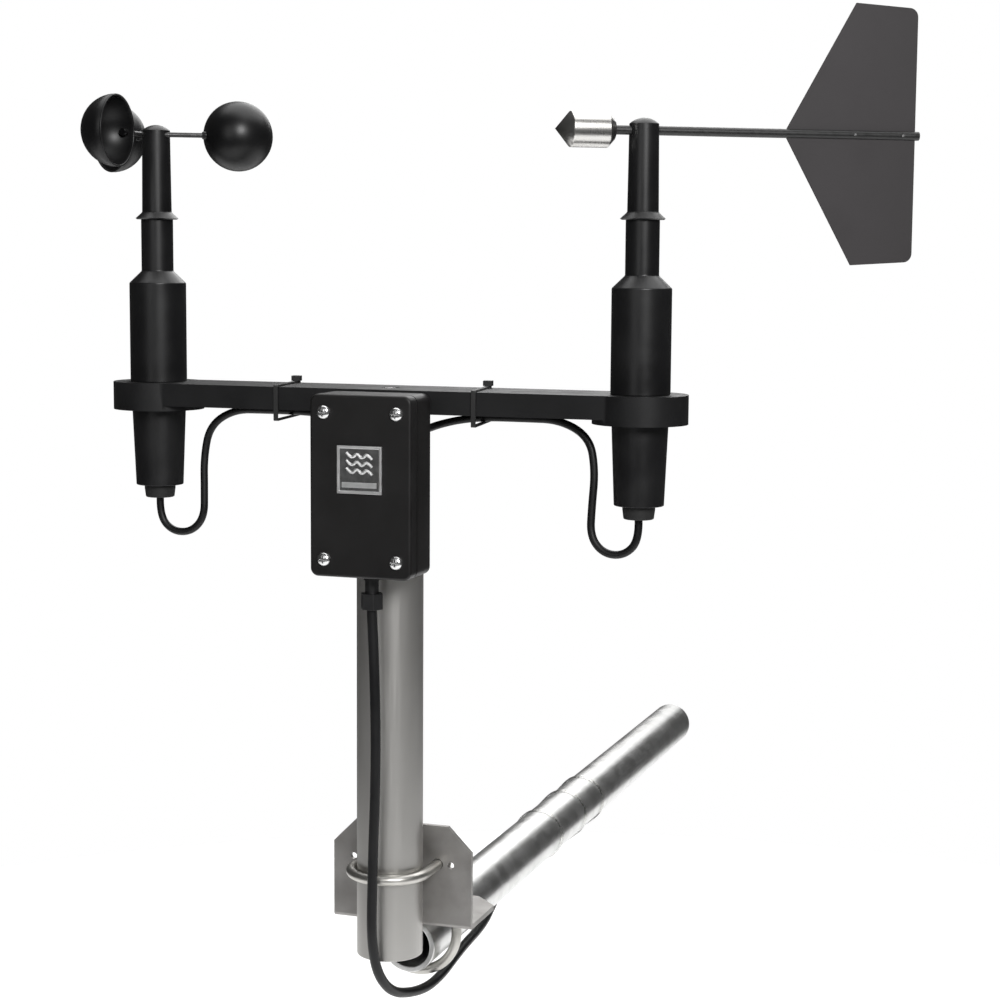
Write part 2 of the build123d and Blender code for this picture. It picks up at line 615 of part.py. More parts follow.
# ---------------------------------------------------------------- junction box
BOX_BACK_Y = ARM_FRONT_Y - FACE_GAP
BOX_FRONT_Y = BOX_BACK_Y - BOX_DEPTH
BOX_TOP_Z = TOP_Z - BOX_DROP
BOX_MID_Z = BOX_TOP_Z - BOX_HEIGHT / 2
BOX_BOTTOM_Z = BOX_TOP_Z - BOX_HEIGHT
BASE_DEPTH = BOX_DEPTH - LID_DEPTH - GASKET_HEIGHT
LID_BACK_Y = BOX_BACK_Y - BASE_DEPTH - GASKET_HEIGHT


def box_plane(y):
    """The upright plane at depth y, centred on the box and facing away from the mast."""
    return Plane(origin=(BOX_SHIFT, y, BOX_MID_Z), x_dir=(1, 0, 0), z_dir=(0, -1, 0))


def box_outline(inset=0.0, mode=Mode.ADD):
    """The box's rounded outline, drawn in by an inset."""
    RectangleRounded(BOX_WIDTH - 2 * inset, BOX_HEIGHT - 2 * inset, BOX_CORNER - min(inset, 2.0), mode=mode)


back_plane = box_plane(BOX_BACK_Y)
GLAND_Y = ARM_FRONT_Y - GLAND_OFFSET
GROMMET_Z = TOP_Z - GROMMET_DROP
grommet_places = [(-GROMMET_SPACING / 2, GROMMET_Z - BOX_MID_Z), (GROMMET_SPACING / 2, GROMMET_Z - BOX_MID_Z)]
BOX_SCREW_RISE = ARM_Z + BOX_SCREW_LIFT - BOX_MID_Z
box_screw_places = [(-BOX_SCREW_SPACING / 2, BOX_SCREW_RISE), (BOX_SCREW_SPACING / 2, BOX_SCREW_RISE)]

with BuildPart() as box_base:
    with BuildSketch(back_plane):
        box_outline()
    extrude(amount=BASE_DEPTH)
    with BuildSketch(back_plane.offset(BOX_WALL)):
        box_outline(BOX_WALL)
    extrude(amount=BASE_DEPTH, mode=Mode.SUBTRACT)
    with BuildSketch(back_plane):
        with GridLocations(LID_SCREW_X, LID_SCREW_Z, 2, 2):
            Circle(LID_POST_DIAMETER / 2)
    extrude(amount=BASE_DEPTH)
    with BuildSketch(back_plane.offset(BASE_DEPTH)):
        with GridLocations(LID_SCREW_X, LID_SCREW_Z, 2, 2):
            Circle(LID_SCREW_DIAMETER / 2 + SLIP)
    extrude(amount=-BASE_DEPTH + BOX_WALL, mode=Mode.SUBTRACT)
    with BuildSketch(back_plane):
        with Locations(*grommet_places):
            Circle(GROMMET_DIAMETER / 2 - 1 + SLIP)
        with Locations(*box_screw_places):
            Circle(BOX_SCREW_DIAMETER / 2 + SLIP)
    extrude(amount=BOX_WALL, mode=Mode.SUBTRACT)
    with BuildSketch(Plane.XY.offset(BOX_BOTTOM_Z)):
        with Locations((BOX_SHIFT, GLAND_Y)):
            Circle(GLAND_NECK_DIAMETER / 2 + SLIP)
    extrude(amount=BOX_WALL, mode=Mode.SUBTRACT)
save(box_base.part, "box_base")

with BuildPart() as lid_gasket:
    with BuildSketch(back_plane.offset(BASE_DEPTH)):
        box_outline(0.6)
        box_outline(BOX_WALL, mode=Mode.SUBTRACT)
    extrude(amount=GASKET_HEIGHT)
save(lid_gasket.part, "lid_gasket")

with BuildPart() as box_lid:
    with BuildSketch(box_plane(LID_BACK_Y)):
        box_outline()
    extrude(amount=LID_DEPTH)
    fillet(box_lid.faces().sort_by(Axis.Y)[0].edges(), radius=1.6)
    with BuildSketch(box_plane(LID_BACK_Y)):
        box_outline(BOX_WALL)
    extrude(amount=LID_DEPTH - BOX_WALL, mode=Mode.SUBTRACT)
    with BuildSketch(box_plane(LID_BACK_Y)):
        with GridLocations(LID_SCREW_X, LID_SCREW_Z, 2, 2):
            Circle(LID_POST_DIAMETER / 2)
    extrude(amount=LID_DEPTH - 1)
    with BuildSketch(box_plane(LID_BACK_Y)):
        with GridLocations(LID_SCREW_X, LID_SCREW_Z, 2, 2):
            Circle(LID_SCREW_DIAMETER / 2 + HOLE_SLIP)
    extrude(amount=LID_DEPTH, mode=Mode.SUBTRACT)
save(box_lid.part, "box_lid")

with BuildPart() as lid_screws:
    with BuildSketch(box_plane(BOX_FRONT_Y - FACE_GAP)):
        with GridLocations(LID_SCREW_X, LID_SCREW_Z, 2, 2):
            Circle(LID_HEAD_DIAMETER / 2)
    extrude(amount=LID_HEAD_HEIGHT)
    fillet(lid_screws.faces().filter_by(Axis.Y).sort_by(Axis.Y)[:4].edges(), radius=1.5)
    with BuildSketch(box_plane(BOX_FRONT_Y - FACE_GAP)):
        with GridLocations(LID_SCREW_X, LID_SCREW_Z, 2, 2):
            Circle(LID_SCREW_DIAMETER / 2)
    extrude(amount=-BOX_DEPTH + BOX_WALL + 2)
    with BuildSketch(box_plane(BOX_FRONT_Y - FACE_GAP - LID_HEAD_HEIGHT)):
        with GridLocations(LID_SCREW_X, LID_SCREW_Z, 2, 2):
            Rectangle(LID_HEAD_DIAMETER * 0.6, 0.8)
    extrude(amount=-1.0, mode=Mode.SUBTRACT)
save(lid_screws.part, "lid_screws")

label_plane = Plane(
    origin=(BOX_SHIFT, BOX_FRONT_Y - FACE_GAP, BOX_MID_Z + LABEL_RISE), x_dir=(1, 0, 0), z_dir=(0, -1, 0)
)
with BuildPart() as label_plate:
    with BuildSketch(label_plane):
        RectangleRounded(LABEL_SIDE, LABEL_SIDE, 1.0)
    extrude(amount=LABEL_THICKNESS)
    with BuildSketch(label_plane.offset(LABEL_THICKNESS)):
        RectangleRounded(LABEL_SIDE - 3, LABEL_SIDE - 3, 0.6)
    extrude(amount=-0.5, mode=Mode.SUBTRACT)
save(label_plate.part, "label_plate")

with BuildPart() as box_screws:
    with BuildSketch(back_plane.offset(BOX_WALL + FACE_GAP)):
        with Locations(*box_screw_places):
            Circle(BOX_SCREW_DIAMETER * 0.85)
    extrude(amount=2.0)
    with BuildSketch(back_plane.offset(BOX_WALL + FACE_GAP)):
        with Locations(*box_screw_places):
            Circle(BOX_SCREW_DIAMETER / 2)
    extrude(amount=-10)
save(box_screws.part, "box_screws")

strip_plane = box_plane(BOX_BACK_Y - BOX_WALL - FACE_GAP)
strip_pitch = STRIP_LENGTH / STRIP_WAYS
with BuildPart() as terminal_strip:
    with BuildSketch(strip_plane):
        Rectangle(STRIP_LENGTH, STRIP_HEIGHT)
    extrude(amount=STRIP_DEPTH)
    with BuildSketch(strip_plane.offset(STRIP_DEPTH)):
        with GridLocations(strip_pitch, 0, STRIP_WAYS, 1):
            Circle(1.8)
    extrude(amount=-5, mode=Mode.SUBTRACT)
save(terminal_strip.part, "terminal_strip")

with BuildPart() as terminal_screws:
    with BuildSketch(strip_plane.offset(STRIP_DEPTH - 5 + SLIP)):
        with GridLocations(strip_pitch, 0, STRIP_WAYS, 1):
            Circle(1.7)
    extrude(amount=3.5)
save(terminal_screws.part, "terminal_screws")

with BuildPart() as lead_grommets:
    with BuildSketch(back_plane.offset(-GROMMET_FLANGE)):
        with Locations(*grommet_places):
            Circle(GROMMET_DIAMETER / 2)
    extrude(amount=GROMMET_FLANGE - FACE_GAP)
    with BuildSketch(back_plane.offset(-GROMMET_FLANGE)):
        with Locations(*grommet_places):
            Circle(GROMMET_DIAMETER / 2 - 1)
    extrude(amount=GROMMET_FLANGE + BOX_WALL + 1)
    with BuildSketch(back_plane.offset(-GROMMET_FLANGE)):
        with Locations(*grommet_places):
            Circle(LEAD_DIAMETER / 2 + SLIP)
    extrude(amount=GROMMET_FLANGE + BOX_WALL + 1, mode=Mode.SUBTRACT)
save(lead_grommets.part, "lead_grommets")


# ---------------------------------------------------------------- gland
def upright_plane(z):
    """The level plane at height z, centred on the gland."""
    return Plane(origin=(BOX_SHIFT, GLAND_Y, z), x_dir=(1, 0, 0), z_dir=(0, 0, 1))


GLAND_BOTTOM = BOX_BOTTOM_Z - GLAND_NECK_LENGTH - GLAND_NUT_LENGTH
with BuildPart() as gland_body:
    with BuildSketch(upright_plane(GLAND_BOTTOM + 1)):
        Circle(GLAND_NECK_DIAMETER / 2)
        Circle(CABLE_DIAMETER / 2 + SLIP, mode=Mode.SUBTRACT)
    extrude(amount=GLAND_NECK_LENGTH + GLAND_NUT_LENGTH - 1 + BOX_WALL + 5)
    with BuildSketch(upright_plane(BOX_BOTTOM_Z - 3 - FACE_GAP)):
        Circle(GLAND_NECK_DIAMETER / 2 + 0.7)
        Circle(CABLE_DIAMETER / 2 + SLIP, mode=Mode.SUBTRACT)
    extrude(amount=3)
save(gland_body.part, "gland_body")

with BuildPart() as gland_nut:
    with BuildSketch(upright_plane(GLAND_BOTTOM)):
        RegularPolygon(GLAND_FLATS / 2, 6, major_radius=False)
        Circle(GLAND_NECK_DIAMETER / 2 + SLIP, mode=Mode.SUBTRACT)
    extrude(amount=GLAND_NUT_LENGTH)
    with BuildSketch(upright_plane(GLAND_BOTTOM)):
        Circle(GLAND_NECK_DIAMETER / 2 + 0.2)
        Circle(CABLE_DIAMETER / 2 + SLIP, mode=Mode.SUBTRACT)
    extrude(amount=1 - FACE_GAP)
save(gland_nut.part, "gland_nut")

with BuildPart() as gland_locknut:
    with BuildSketch(upright_plane(BOX_BOTTOM_Z + BOX_WALL + FACE_GAP)):
        RegularPolygon(GLAND_FLATS / 2, 6, major_radius=False)
        Circle(GLAND_NECK_DIAMETER / 2 + SLIP, mode=Mode.SUBTRACT)
    extrude(amount=3)
save(gland_locknut.part, "gland_locknut")


# ---------------------------------------------------------------- cords
def cord(points, diameter, name):
    """A round cord along straight runs with arcs as large as its runs allow."""
    knots = [Vector(*p) for p in points]
    radii = []
    for a, b, c in zip(knots, knots[1:], knots[2:]):
        turn = (b - a).get_angle(c - b)
        shorter = min((b - a).length, (c - b).length)
        radii.append(0.45 * shorter / tan(radians(turn / 2)))
    with BuildPart() as tube:
        with BuildLine() as path:
            FilletPolyline(*points, radius=radii)
        wire = path.wires()[0]
        with BuildSketch(Plane(origin=wire @ 0, z_dir=wire % 0)):
            Circle(diameter / 2)
        sweep(path=wire)
    save(tube.part, name)
    section = pi * diameter ** 2 / 4
    filled = tube.part.volume / (section * wire.length)
    print(name, "length", round(wire.length, 1), "volume ratio", round(filled, 4))
    print("  radii", [round(r, 1) for r in radii], "turns from", round(min(radii) / diameter, 1), "diameters")


cup_lead_route = [
    (-145.7, -673.0, 265.75),
    (-146.1, -673.0, 254.1),
    (-137.7, -673.0, 245.5),
    (-125.8, -672.6, 245.7),
    (-117.6, -672.0, 254.5),
    (-117.9, -670.8, 270.0),
    (-118.7, -669.4, 290.0),
    (-115.3, -668.0, 308.5),
    (-100.0, -667.0, 318.2),
    (-80.0, -666.0, 318.35),
    (-58.0, -666.3, 318.35),
    (-40.0, -667.5, 317.2),
    (-27.5, -674.0, 314.5),
    (-20.6, -685.5, 311.95),
    (-20.6, -698.0, 311.95),
]
vane_lead_route = [
    (145.7, -673.0, 265.75),
    (146.2, -673.0, 254.0),
    (137.9, -673.0, 245.2),
    (126.0, -672.8, 245.6),
    (118.1, -672.2, 254.7),
    (118.5, -671.0, 271.0),
    (119.7, -669.4, 291.0),
    (116.0, -668.0, 309.0),
    (99.0, -667.0, 318.2),
    (77.0, -666.0, 318.3),
    (55.0, -666.5, 318.35),
    (40.0, -668.5, 316.6),
    (30.5, -675.0, 314.2),
    (26.0, -685.5, 311.95),
    (26.0, -698.0, 311.95),
]
cord(cup_lead_route, LEAD_DIAMETER, "cup_lead")
cord(vane_lead_route, LEAD_DIAMETER, "vane_lead")

# The hank hangs on the boom's shaded side, turned down and away from the box
HANK_LEAN = 43.0
hank_a = radians(HANK_LEAN)
HANK_OUT = (-cos(hank_a), 0, -sin(hank_a))
cable_pitch = CABLE_DIAMETER + 0.1
HANK_INNER_R = HANK_BEND_RADIUS
HANK_OUTER_R = HANK_INNER_R + (HANK_TURNS_DEEP - 1) * cable_pitch
HANK_WIDTH = 2 * HANK_OUTER_R + CABLE_DIAMETER
HANK_THICK = (HANK_TURNS_WIDE - 1) * cable_pitch + CABLE_DIAMETER
HANK_OFFSET = BOOM_R + 1.2 + HANK_WIDTH / 2
HANK_MID_Y = -HANK_NEAR_END + HANK_STRAIGHT / 2
LANE = HANK_OFFSET - HANK_OUTER_R     # from the boom's axis to the turn nearest the boom
hank_plane = Plane(
    origin=(HANK_OUT[0] * HANK_OFFSET, HANK_MID_Y, HANK_OUT[2] * HANK_OFFSET),
    x_dir=(0, 1, 0), z_dir=(-sin(hank_a), 0, cos(hank_a)),
)
with BuildPart() as cable_hank:
    with BuildSketch(hank_plane):
        SlotOverall(HANK_STRAIGHT + HANK_WIDTH, HANK_WIDTH)
    extrude(amount=HANK_THICK / 2, both=True)
save(cable_hank.part, "cable_hank")

main_cable_route = [
    (2.7, -707.3, 212.75),
    (4.4, -706.6, 170.0),
    (4.0, -704.6, 118.0),
    (1.2, -703.0, 62.0),
    (0.3, -702.6, 11.0),
    (3.2, -684.0, -15.2),
    (8.8, -654.5, -24.6),
    (11.8, -626.0, -26.6),
    (14.4, -590.0, -17.2),
    (10.6, -540.0, -18.8),
    (0.6, -490.0, -21.2),
    (-9.4, -440.0, -19.2),
    (-15.0, -390.0, -14.8),
    (-15.27, -338.0, -14.24),
]
cord(main_cable_route, CABLE_DIAMETER, "main_cable")

TAIL_START_Y = HANK_MID_Y + HANK_STRAIGHT / 2
TAIL_END_Y = TAIL_START_Y + HANK_WIDTH / 2 + TAIL_LENGTH


def lane_plane(y, distance):
    """A plane square to the boom, on the hank's side at a distance from the boom's axis."""
    return Plane(origin=(HANK_OUT[0] * distance, y, HANK_OUT[2] * distance), x_dir=(1, 0, 0), z_dir=(0, 1, 0))


with BuildPart() as cable_tail:
    with BuildSketch(lane_plane(TAIL_START_Y, LANE)):
        Circle(CABLE_DIAMETER / 2)
    extrude(amount=TAIL_END_Y - TAIL_START_Y)
save(cable_tail.part, "cable_tail")

PLUG_NECK = 12.0
CONNECTOR_LANE = LANE + CONNECTOR_DIAMETER / 2 - CABLE_DIAMETER / 2
with BuildPart() as cable_connector:
    with BuildSketch(lane_plane(TAIL_END_Y + FACE_GAP, LANE)):
        Circle(CABLE_DIAMETER / 2 + 0.6)
    extrude(amount=PLUG_NECK)
    with BuildSketch(lane_plane(TAIL_END_Y + FACE_GAP + PLUG_NECK, CONNECTOR_LANE)):
        Circle(CONNECTOR_DIAMETER / 2)
    extrude(amount=CONNECTOR_LENGTH - PLUG_NECK)
    with BuildSketch(lane_plane(TAIL_END_Y + FACE_GAP + CONNECTOR_LENGTH, CONNECTOR_LANE)):
        Circle(CONNECTOR_DIAMETER / 2 - 1.6)
    extrude(amount=-9, mode=Mode.SUBTRACT)
save(cable_connector.part, "cable_connector")

# ---------------------------------------------------------------- ties
skew = radians(ARM_TIE_SKEW)
LOOP_WIDTH = ARM_WIDTH / cos(skew) + TIE_WIDTH * tan(skew) + 2 * TIE_GAP
LOOP_HEIGHT = ARM_HEIGHT + ARM_TIE_DROP
with BuildPart() as arm_ties:
    for x in ARM_TIE_X:
        plane = Plane(
            origin=(x, MAST_Y, TOP_Z + TIE_GAP - LOOP_HEIGHT / 2),
            x_dir=(-sin(skew), cos(skew), 0), z_dir=(cos(skew), sin(skew), 0),
        )
        with BuildSketch(plane):
            RectangleRounded(LOOP_WIDTH + 2 * TIE_THICKNESS, LOOP_HEIGHT + 2 * TIE_THICKNESS, 1.0)
            Rectangle(LOOP_WIDTH, LOOP_HEIGHT, mode=Mode.SUBTRACT)
        extrude(amount=TIE_WIDTH / 2, both=True)
        with BuildSketch(plane):
            with Locations((LOOP_WIDTH / 2 - 3.2, LOOP_HEIGHT / 2 + TIE_THICKNESS)):
                Rectangle(4.6, 3.0, align=(Align.CENTER, Align.MIN))
        extrude(amount=TIE_WIDTH, both=True)
save(arm_ties.part, "arm_ties")


def wrap_outline(corners, radius):
    """What a band pulled tight round the boom and some smaller rounds encloses."""
    with BuildLine() as wrapped:
        CenterArc((0, 0), BOOM_R + TIE_GAP, 0, 360)
        for corner in corners:
            CenterArc(corner, radius + TIE_GAP, 0, 360)
    make_hull(wrapped.edges())


hank_corner = (HANK_OFFSET + HANK_WIDTH / 2 - 1, HANK_THICK / 2)
hank_corners = [hank_corner, (hank_corner[0], -hank_corner[1])]
with BuildPart() as boom_ties:
    for y, corners, radius in (
        (HANK_MID_Y - HANK_TIE_INSET / 2, hank_corners, 1.0),
        (HANK_MID_Y + HANK_TIE_INSET / 2, hank_corners, 1.0),
        (CABLE_TIE_Y, [(LANE, 0)], CABLE_DIAMETER / 2 + 1.2),
    ):
        plane = Plane(origin=(0, y, 0), x_dir=HANK_OUT, z_dir=(0, 1, 0))
        with BuildSketch(plane):
            wrap_outline(corners, radius)
            offset(amount=TIE_THICKNESS)
        extrude(amount=TIE_WIDTH / 2, both=True)
        with BuildSketch(plane):
            wrap_outline(corners, radius)
        extrude(amount=TIE_WIDTH, both=True, mode=Mode.SUBTRACT)
save(boom_ties.part, "boom_ties")
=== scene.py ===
"""Looks of a cup anemometer and wind vane that share one crossarm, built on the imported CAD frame.

Lengths are in metres. The origin is on the boom's axis at its tower end, +X runs along the
crossarm towards the vane, +Y along the boom towards the tower and +Z up.
"""

from math import cos, pi, radians, sin

import bpy
from mathutils import Matrix, Vector


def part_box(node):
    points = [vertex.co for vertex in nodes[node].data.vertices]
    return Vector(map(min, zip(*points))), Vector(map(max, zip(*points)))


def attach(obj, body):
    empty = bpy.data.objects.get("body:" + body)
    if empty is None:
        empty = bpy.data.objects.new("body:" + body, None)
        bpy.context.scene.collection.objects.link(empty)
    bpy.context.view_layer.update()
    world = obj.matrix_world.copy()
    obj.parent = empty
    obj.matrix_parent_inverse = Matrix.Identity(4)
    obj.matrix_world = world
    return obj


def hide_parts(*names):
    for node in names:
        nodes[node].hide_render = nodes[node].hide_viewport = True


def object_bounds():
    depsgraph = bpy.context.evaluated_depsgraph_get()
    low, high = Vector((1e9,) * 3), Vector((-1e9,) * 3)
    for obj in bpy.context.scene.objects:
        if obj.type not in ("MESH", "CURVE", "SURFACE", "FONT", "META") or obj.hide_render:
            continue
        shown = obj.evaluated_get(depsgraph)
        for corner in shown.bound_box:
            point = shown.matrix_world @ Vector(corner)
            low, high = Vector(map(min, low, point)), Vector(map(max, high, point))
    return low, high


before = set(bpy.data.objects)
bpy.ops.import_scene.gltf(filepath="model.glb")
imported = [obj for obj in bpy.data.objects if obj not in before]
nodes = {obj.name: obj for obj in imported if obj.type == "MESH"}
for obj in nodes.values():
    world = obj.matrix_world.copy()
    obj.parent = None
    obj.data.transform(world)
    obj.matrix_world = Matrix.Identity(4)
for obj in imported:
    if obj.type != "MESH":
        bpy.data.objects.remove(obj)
cad_low, cad_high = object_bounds()

# ---------------------------------------------------------------- camera
# It stands in front of the junction box, to the vane's side of it, and looks a little down
# along the boom.
camera_place = Vector((0.43827, -1.77984, 0.40734))
camera_yaw, camera_dip, camera_roll = radians(18.60), radians(6.57), radians(0.39)
ahead = Vector((-sin(camera_yaw) * cos(camera_dip), cos(camera_yaw) * cos(camera_dip), -sin(camera_dip)))
level = Vector((cos(camera_yaw), sin(camera_yaw), 0))
sideways = level * cos(camera_roll) + level.cross(ahead) * sin(camera_roll)
bpy.ops.object.camera_add()
camera = bpy.context.object
camera.matrix_world = Matrix.Translation(camera_place) @ Matrix(
    (sideways, sideways.cross(ahead), -ahead)
).transposed().to_4x4()
camera.data.sensor_width = 36
camera.data.lens = 75.87
bpy.context.scene.camera = camera

# ---------------------------------------------------------------- floor and light
# A plain pale round floor below the set, which its boom holds clear of it, and soft studio
# light: two box lights in front, a wide one overhead and one behind, in a dim white room.
FLOOR_DROP = 0.30
FLOOR_RADIUS = 1.3
FLOOR_MIDDLE_Y = -0.37
FLOOR_GLOW = 0.25
bpy.ops.mesh.primitive_circle_add(
    vertices=96, radius=FLOOR_RADIUS, fill_type="NGON",
    location=(0, FLOOR_MIDDLE_Y, cad_low.z - FLOOR_DROP),
)
floor = bpy.context.object
floor.name = "floor"
floor_paint = bpy.data.materials.new("floor_paint")
floor_paint.use_nodes = True
floor_shader = floor_paint.node_tree.nodes["Principled BSDF"]
floor_shader.inputs["Base Color"].default_value = (0.95, 0.95, 0.95, 1)
floor_shader.inputs["Roughness"].default_value = 0.9
floor_shader.inputs["Emission Color"].default_value = (1, 1, 1, 1)
floor_shader.inputs["Emission Strength"].default_value = FLOOR_GLOW
floor.data.materials.append(floor_paint)

ROOM_LIGHT = 0.05
ROOM_WHITE = 1.0
room = bpy.data.worlds.new("studio")
bpy.context.scene.world = room
room.use_nodes = True
room_nodes, room_links = room.node_tree.nodes, room.node_tree.links
seen_room = room_nodes.new("ShaderNodeBackground")
seen_room.inputs["Strength"].default_value = ROOM_WHITE
seen_room.inputs["Color"].default_value = (1, 1, 1, 1)
lit_room = room_nodes["Background"]
lit_room.inputs["Strength"].default_value = ROOM_LIGHT
lit_room.inputs["Color"].default_value = (1, 1, 1, 1)
rays = room_nodes.new("ShaderNodeLightPath")
blend_rooms = room_nodes.new("ShaderNodeMixShader")
room_links.new(rays.outputs["Is Camera Ray"], blend_rooms.inputs["Fac"])
room_links.new(lit_room.outputs["Background"], blend_rooms.inputs[1])
room_links.new(seen_room.outputs["Background"], blend_rooms.inputs[2])
room_links.new(blend_rooms.outputs["Shader"], room_nodes["World Output"].inputs["Surface"])
bpy.context.scene.view_settings.view_transform = "Standard"

set_middle = (cad_low + cad_high) / 2


def box_light(name, place, width, height, power):
    """A soft box aimed at the middle of the set."""
    bpy.ops.object.light_add(type="AREA", location=place)
    light = bpy.context.object
    light.name = name
    light.data.shape = "RECTANGLE"
    light.data.size, light.data.size_y = width, height
    light.data.energy = power
    light.rotation_euler = (set_middle - light.location).to_track_quat("-Z", "Y").to_euler()


box_light("key_light", (1.3, -2.5, 1.3), 0.7, 0.7, 46)
box_light("fill_light", (-0.3, -2.9, 0.9), 1.0, 1.4, 6)
box_light("top_light", (0.2, 0.4, 3.0), 4.0, 4.0, 125)
box_light("rear_light", (-0.4, 3.0, 2.1), 2.2, 1.6, 32)

# ---------------------------------------------------------------- leads and signal cable
# Black jacketed instrument cable. Each sensor's lead leaves its rubber collar, loops up under
# the crossarm and goes into the box. The signal cable hangs from the box's gland, turns under
# the boom and ends in a hank tied to its shaded side, with a round connector.
LEAD_DIAMETER = 0.0044
CABLE_DIAMETER = 0.0058


def new_finish(name, colour, roughness, metallic=0.0):
    """A material with one plain shader; returns it with its node tree and that shader."""
    finish = bpy.data.materials.new(name)
    finish.use_nodes = True
    tree = finish.node_tree
    shader = tree.nodes["Principled BSDF"]
    shader.inputs["Base Color"].default_value = (*colour, 1)
    shader.inputs["Roughness"].default_value = roughness
    shader.inputs["Metallic"].default_value = metallic
    return finish, tree, shader


def grain(tree, scale, stretch=(1, 1, 1), turn=(0, 0, 0), detail=4.0):
    """Noise fixed to the piece; stretch is how often it repeats along each axis."""
    place = tree.nodes.new("ShaderNodeTexCoord")
    mapping = tree.nodes.new("ShaderNodeMapping")
    mapping.vector_type = "TEXTURE"
    mapping.inputs["Rotation"].default_value = turn
    squeeze = tree.nodes.new("ShaderNodeMapping")
    squeeze.inputs["Scale"].default_value = stretch
    noise = tree.nodes.new("ShaderNodeTexNoise")
    noise.inputs["Scale"].default_value = scale
    noise.inputs["Detail"].default_value = detail
    tree.links.new(place.outputs["Object"], mapping.inputs["Vector"])
    tree.links.new(mapping.outputs["Vector"], squeeze.inputs["Vector"])
    tree.links.new(squeeze.outputs["Vector"], noise.inputs["Vector"])
    return noise.outputs["Fac"]


def vary_roughness(tree, shader, pattern, low, high):
    """Roughness that runs from low to high with a pattern."""
    spread = tree.nodes.new("ShaderNodeMapRange")
    spread.inputs["From Min"].default_value = 0.3
    spread.inputs["From Max"].default_value = 0.7
    spread.inputs["To Min"].default_value = low
    spread.inputs["To Max"].default_value = high
    tree.links.new(pattern, spread.inputs["Value"])
    tree.links.new(spread.outputs["Result"], shader.inputs["Roughness"])


def vary_colour(tree, shader, pattern, dark, light):
    """Colour that runs from dark to light with a pattern."""
    ramp = tree.nodes.new("ShaderNodeValToRGB")
    ramp.color_ramp.elements[0].position = 0.3
    ramp.color_ramp.elements[1].position = 0.7
    ramp.color_ramp.elements[0].color = (*dark, 1)
    ramp.color_ramp.elements[1].color = (*light, 1)
    tree.links.new(pattern, ramp.inputs["Fac"])
    tree.links.new(ramp.outputs["Color"], shader.inputs["Base Color"])


def raise_grain(tree, shader, pattern, height, strength=1.0):
    """Fine relief of a given height, in metres."""
    bump = tree.nodes.new("ShaderNodeBump")
    bump.inputs["Strength"].default_value = strength
    bump.inputs["Distance"].default_value = height
    tree.links.new(pattern, bump.inputs["Height"])
    tree.links.new(bump.outputs["Normal"], shader.inputs["Normal"])


def fit(piece, body, slot, finish, *stands_for):
    """Gives a piece its finish and fixes it to the CAD body that it moves with."""
    piece.data.materials.clear()
    piece.data.materials.append(finish)
    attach(piece, body)
    if stands_for:
        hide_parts(*stands_for)


def round_cord(name, route, diameter):
    """A round cord on one smooth line through its route."""
    line = bpy.data.curves.new(name, "CURVE")
    line.dimensions = "3D"
    line.bevel_depth = diameter / 2
    line.bevel_resolution = 5
    line.use_fill_caps = True
    spline = line.splines.new("NURBS")
    spline.points.add(len(route) - 1)
    for point, place in zip(spline.points, route):
        point.co = (*place, 1)
    spline.order_u = 3
    spline.use_endpoint_u = True
    spline.resolution_u = 10
    cord = bpy.data.objects.new(name, line)
    bpy.context.scene.collection.objects.link(cord)
    return cord


jacket, jacket_tree, jacket_shader = new_finish("cable_jacket", (0.006, 0.006, 0.0065), 0.42)
jacket_shader.inputs["Specular IOR Level"].default_value = 0.3
jacket_grain = grain(jacket_tree, 1400, detail=2)
raise_grain(jacket_tree, jacket_shader, jacket_grain, 0.00003, 0.6)
vary_roughness(jacket_tree, jacket_shader, grain(jacket_tree, 60), 0.34, 0.52)
vary_colour(
    jacket_tree, jacket_shader, grain(jacket_tree, 45), (0.004, 0.004, 0.0045), (0.009, 0.009, 0.0095)
)

cup_lead_route = [
    (-0.1457, -0.6730, 0.26575),
    (-0.1461, -0.6730, 0.2541),
    (-0.1377, -0.6730, 0.2455),
    (-0.1258, -0.6726, 0.2457),
    (-0.1176, -0.6720, 0.2545),
    (-0.1179, -0.6708, 0.2700),
    (-0.1187, -0.6694, 0.2900),
    (-0.1153, -0.6680, 0.3085),
    (-0.1000, -0.6670, 0.3182),
    (-0.0800, -0.6660, 0.31835),
    (-0.0580, -0.6663, 0.31835),
    (-0.0400, -0.6675, 0.3172),
    (-0.0275, -0.6740, 0.3145),
    (-0.0206, -0.6855, 0.31195),
    (-0.0206, -0.6980, 0.31195),
]
vane_lead_route = [
    (0.1457, -0.6730, 0.26575),
    (0.1462, -0.6730, 0.2540),
    (0.1379, -0.6730, 0.2452),
    (0.1260, -0.6728, 0.2456),
    (0.1181, -0.6722, 0.2547),
    (0.1185, -0.6710, 0.2710),
    (0.1197, -0.6694, 0.2910),
    (0.1160, -0.6680, 0.3090),
    (0.0990, -0.6670, 0.3182),
    (0.0770, -0.6660, 0.3183),
    (0.0550, -0.6665, 0.31835),
    (0.0400, -0.6685, 0.3166),
    (0.0305, -0.6750, 0.3142),
    (0.0260, -0.6855, 0.31195),
    (0.0260, -0.6980, 0.31195),
]
for side, route in (("cup", cup_lead_route), ("vane", vane_lead_route)):
    lead = round_cord(side + "_sensor_lead", route, LEAD_DIAMETER)
    fit(lead, "frame", "cable_jacket", jacket, side + "_lead")

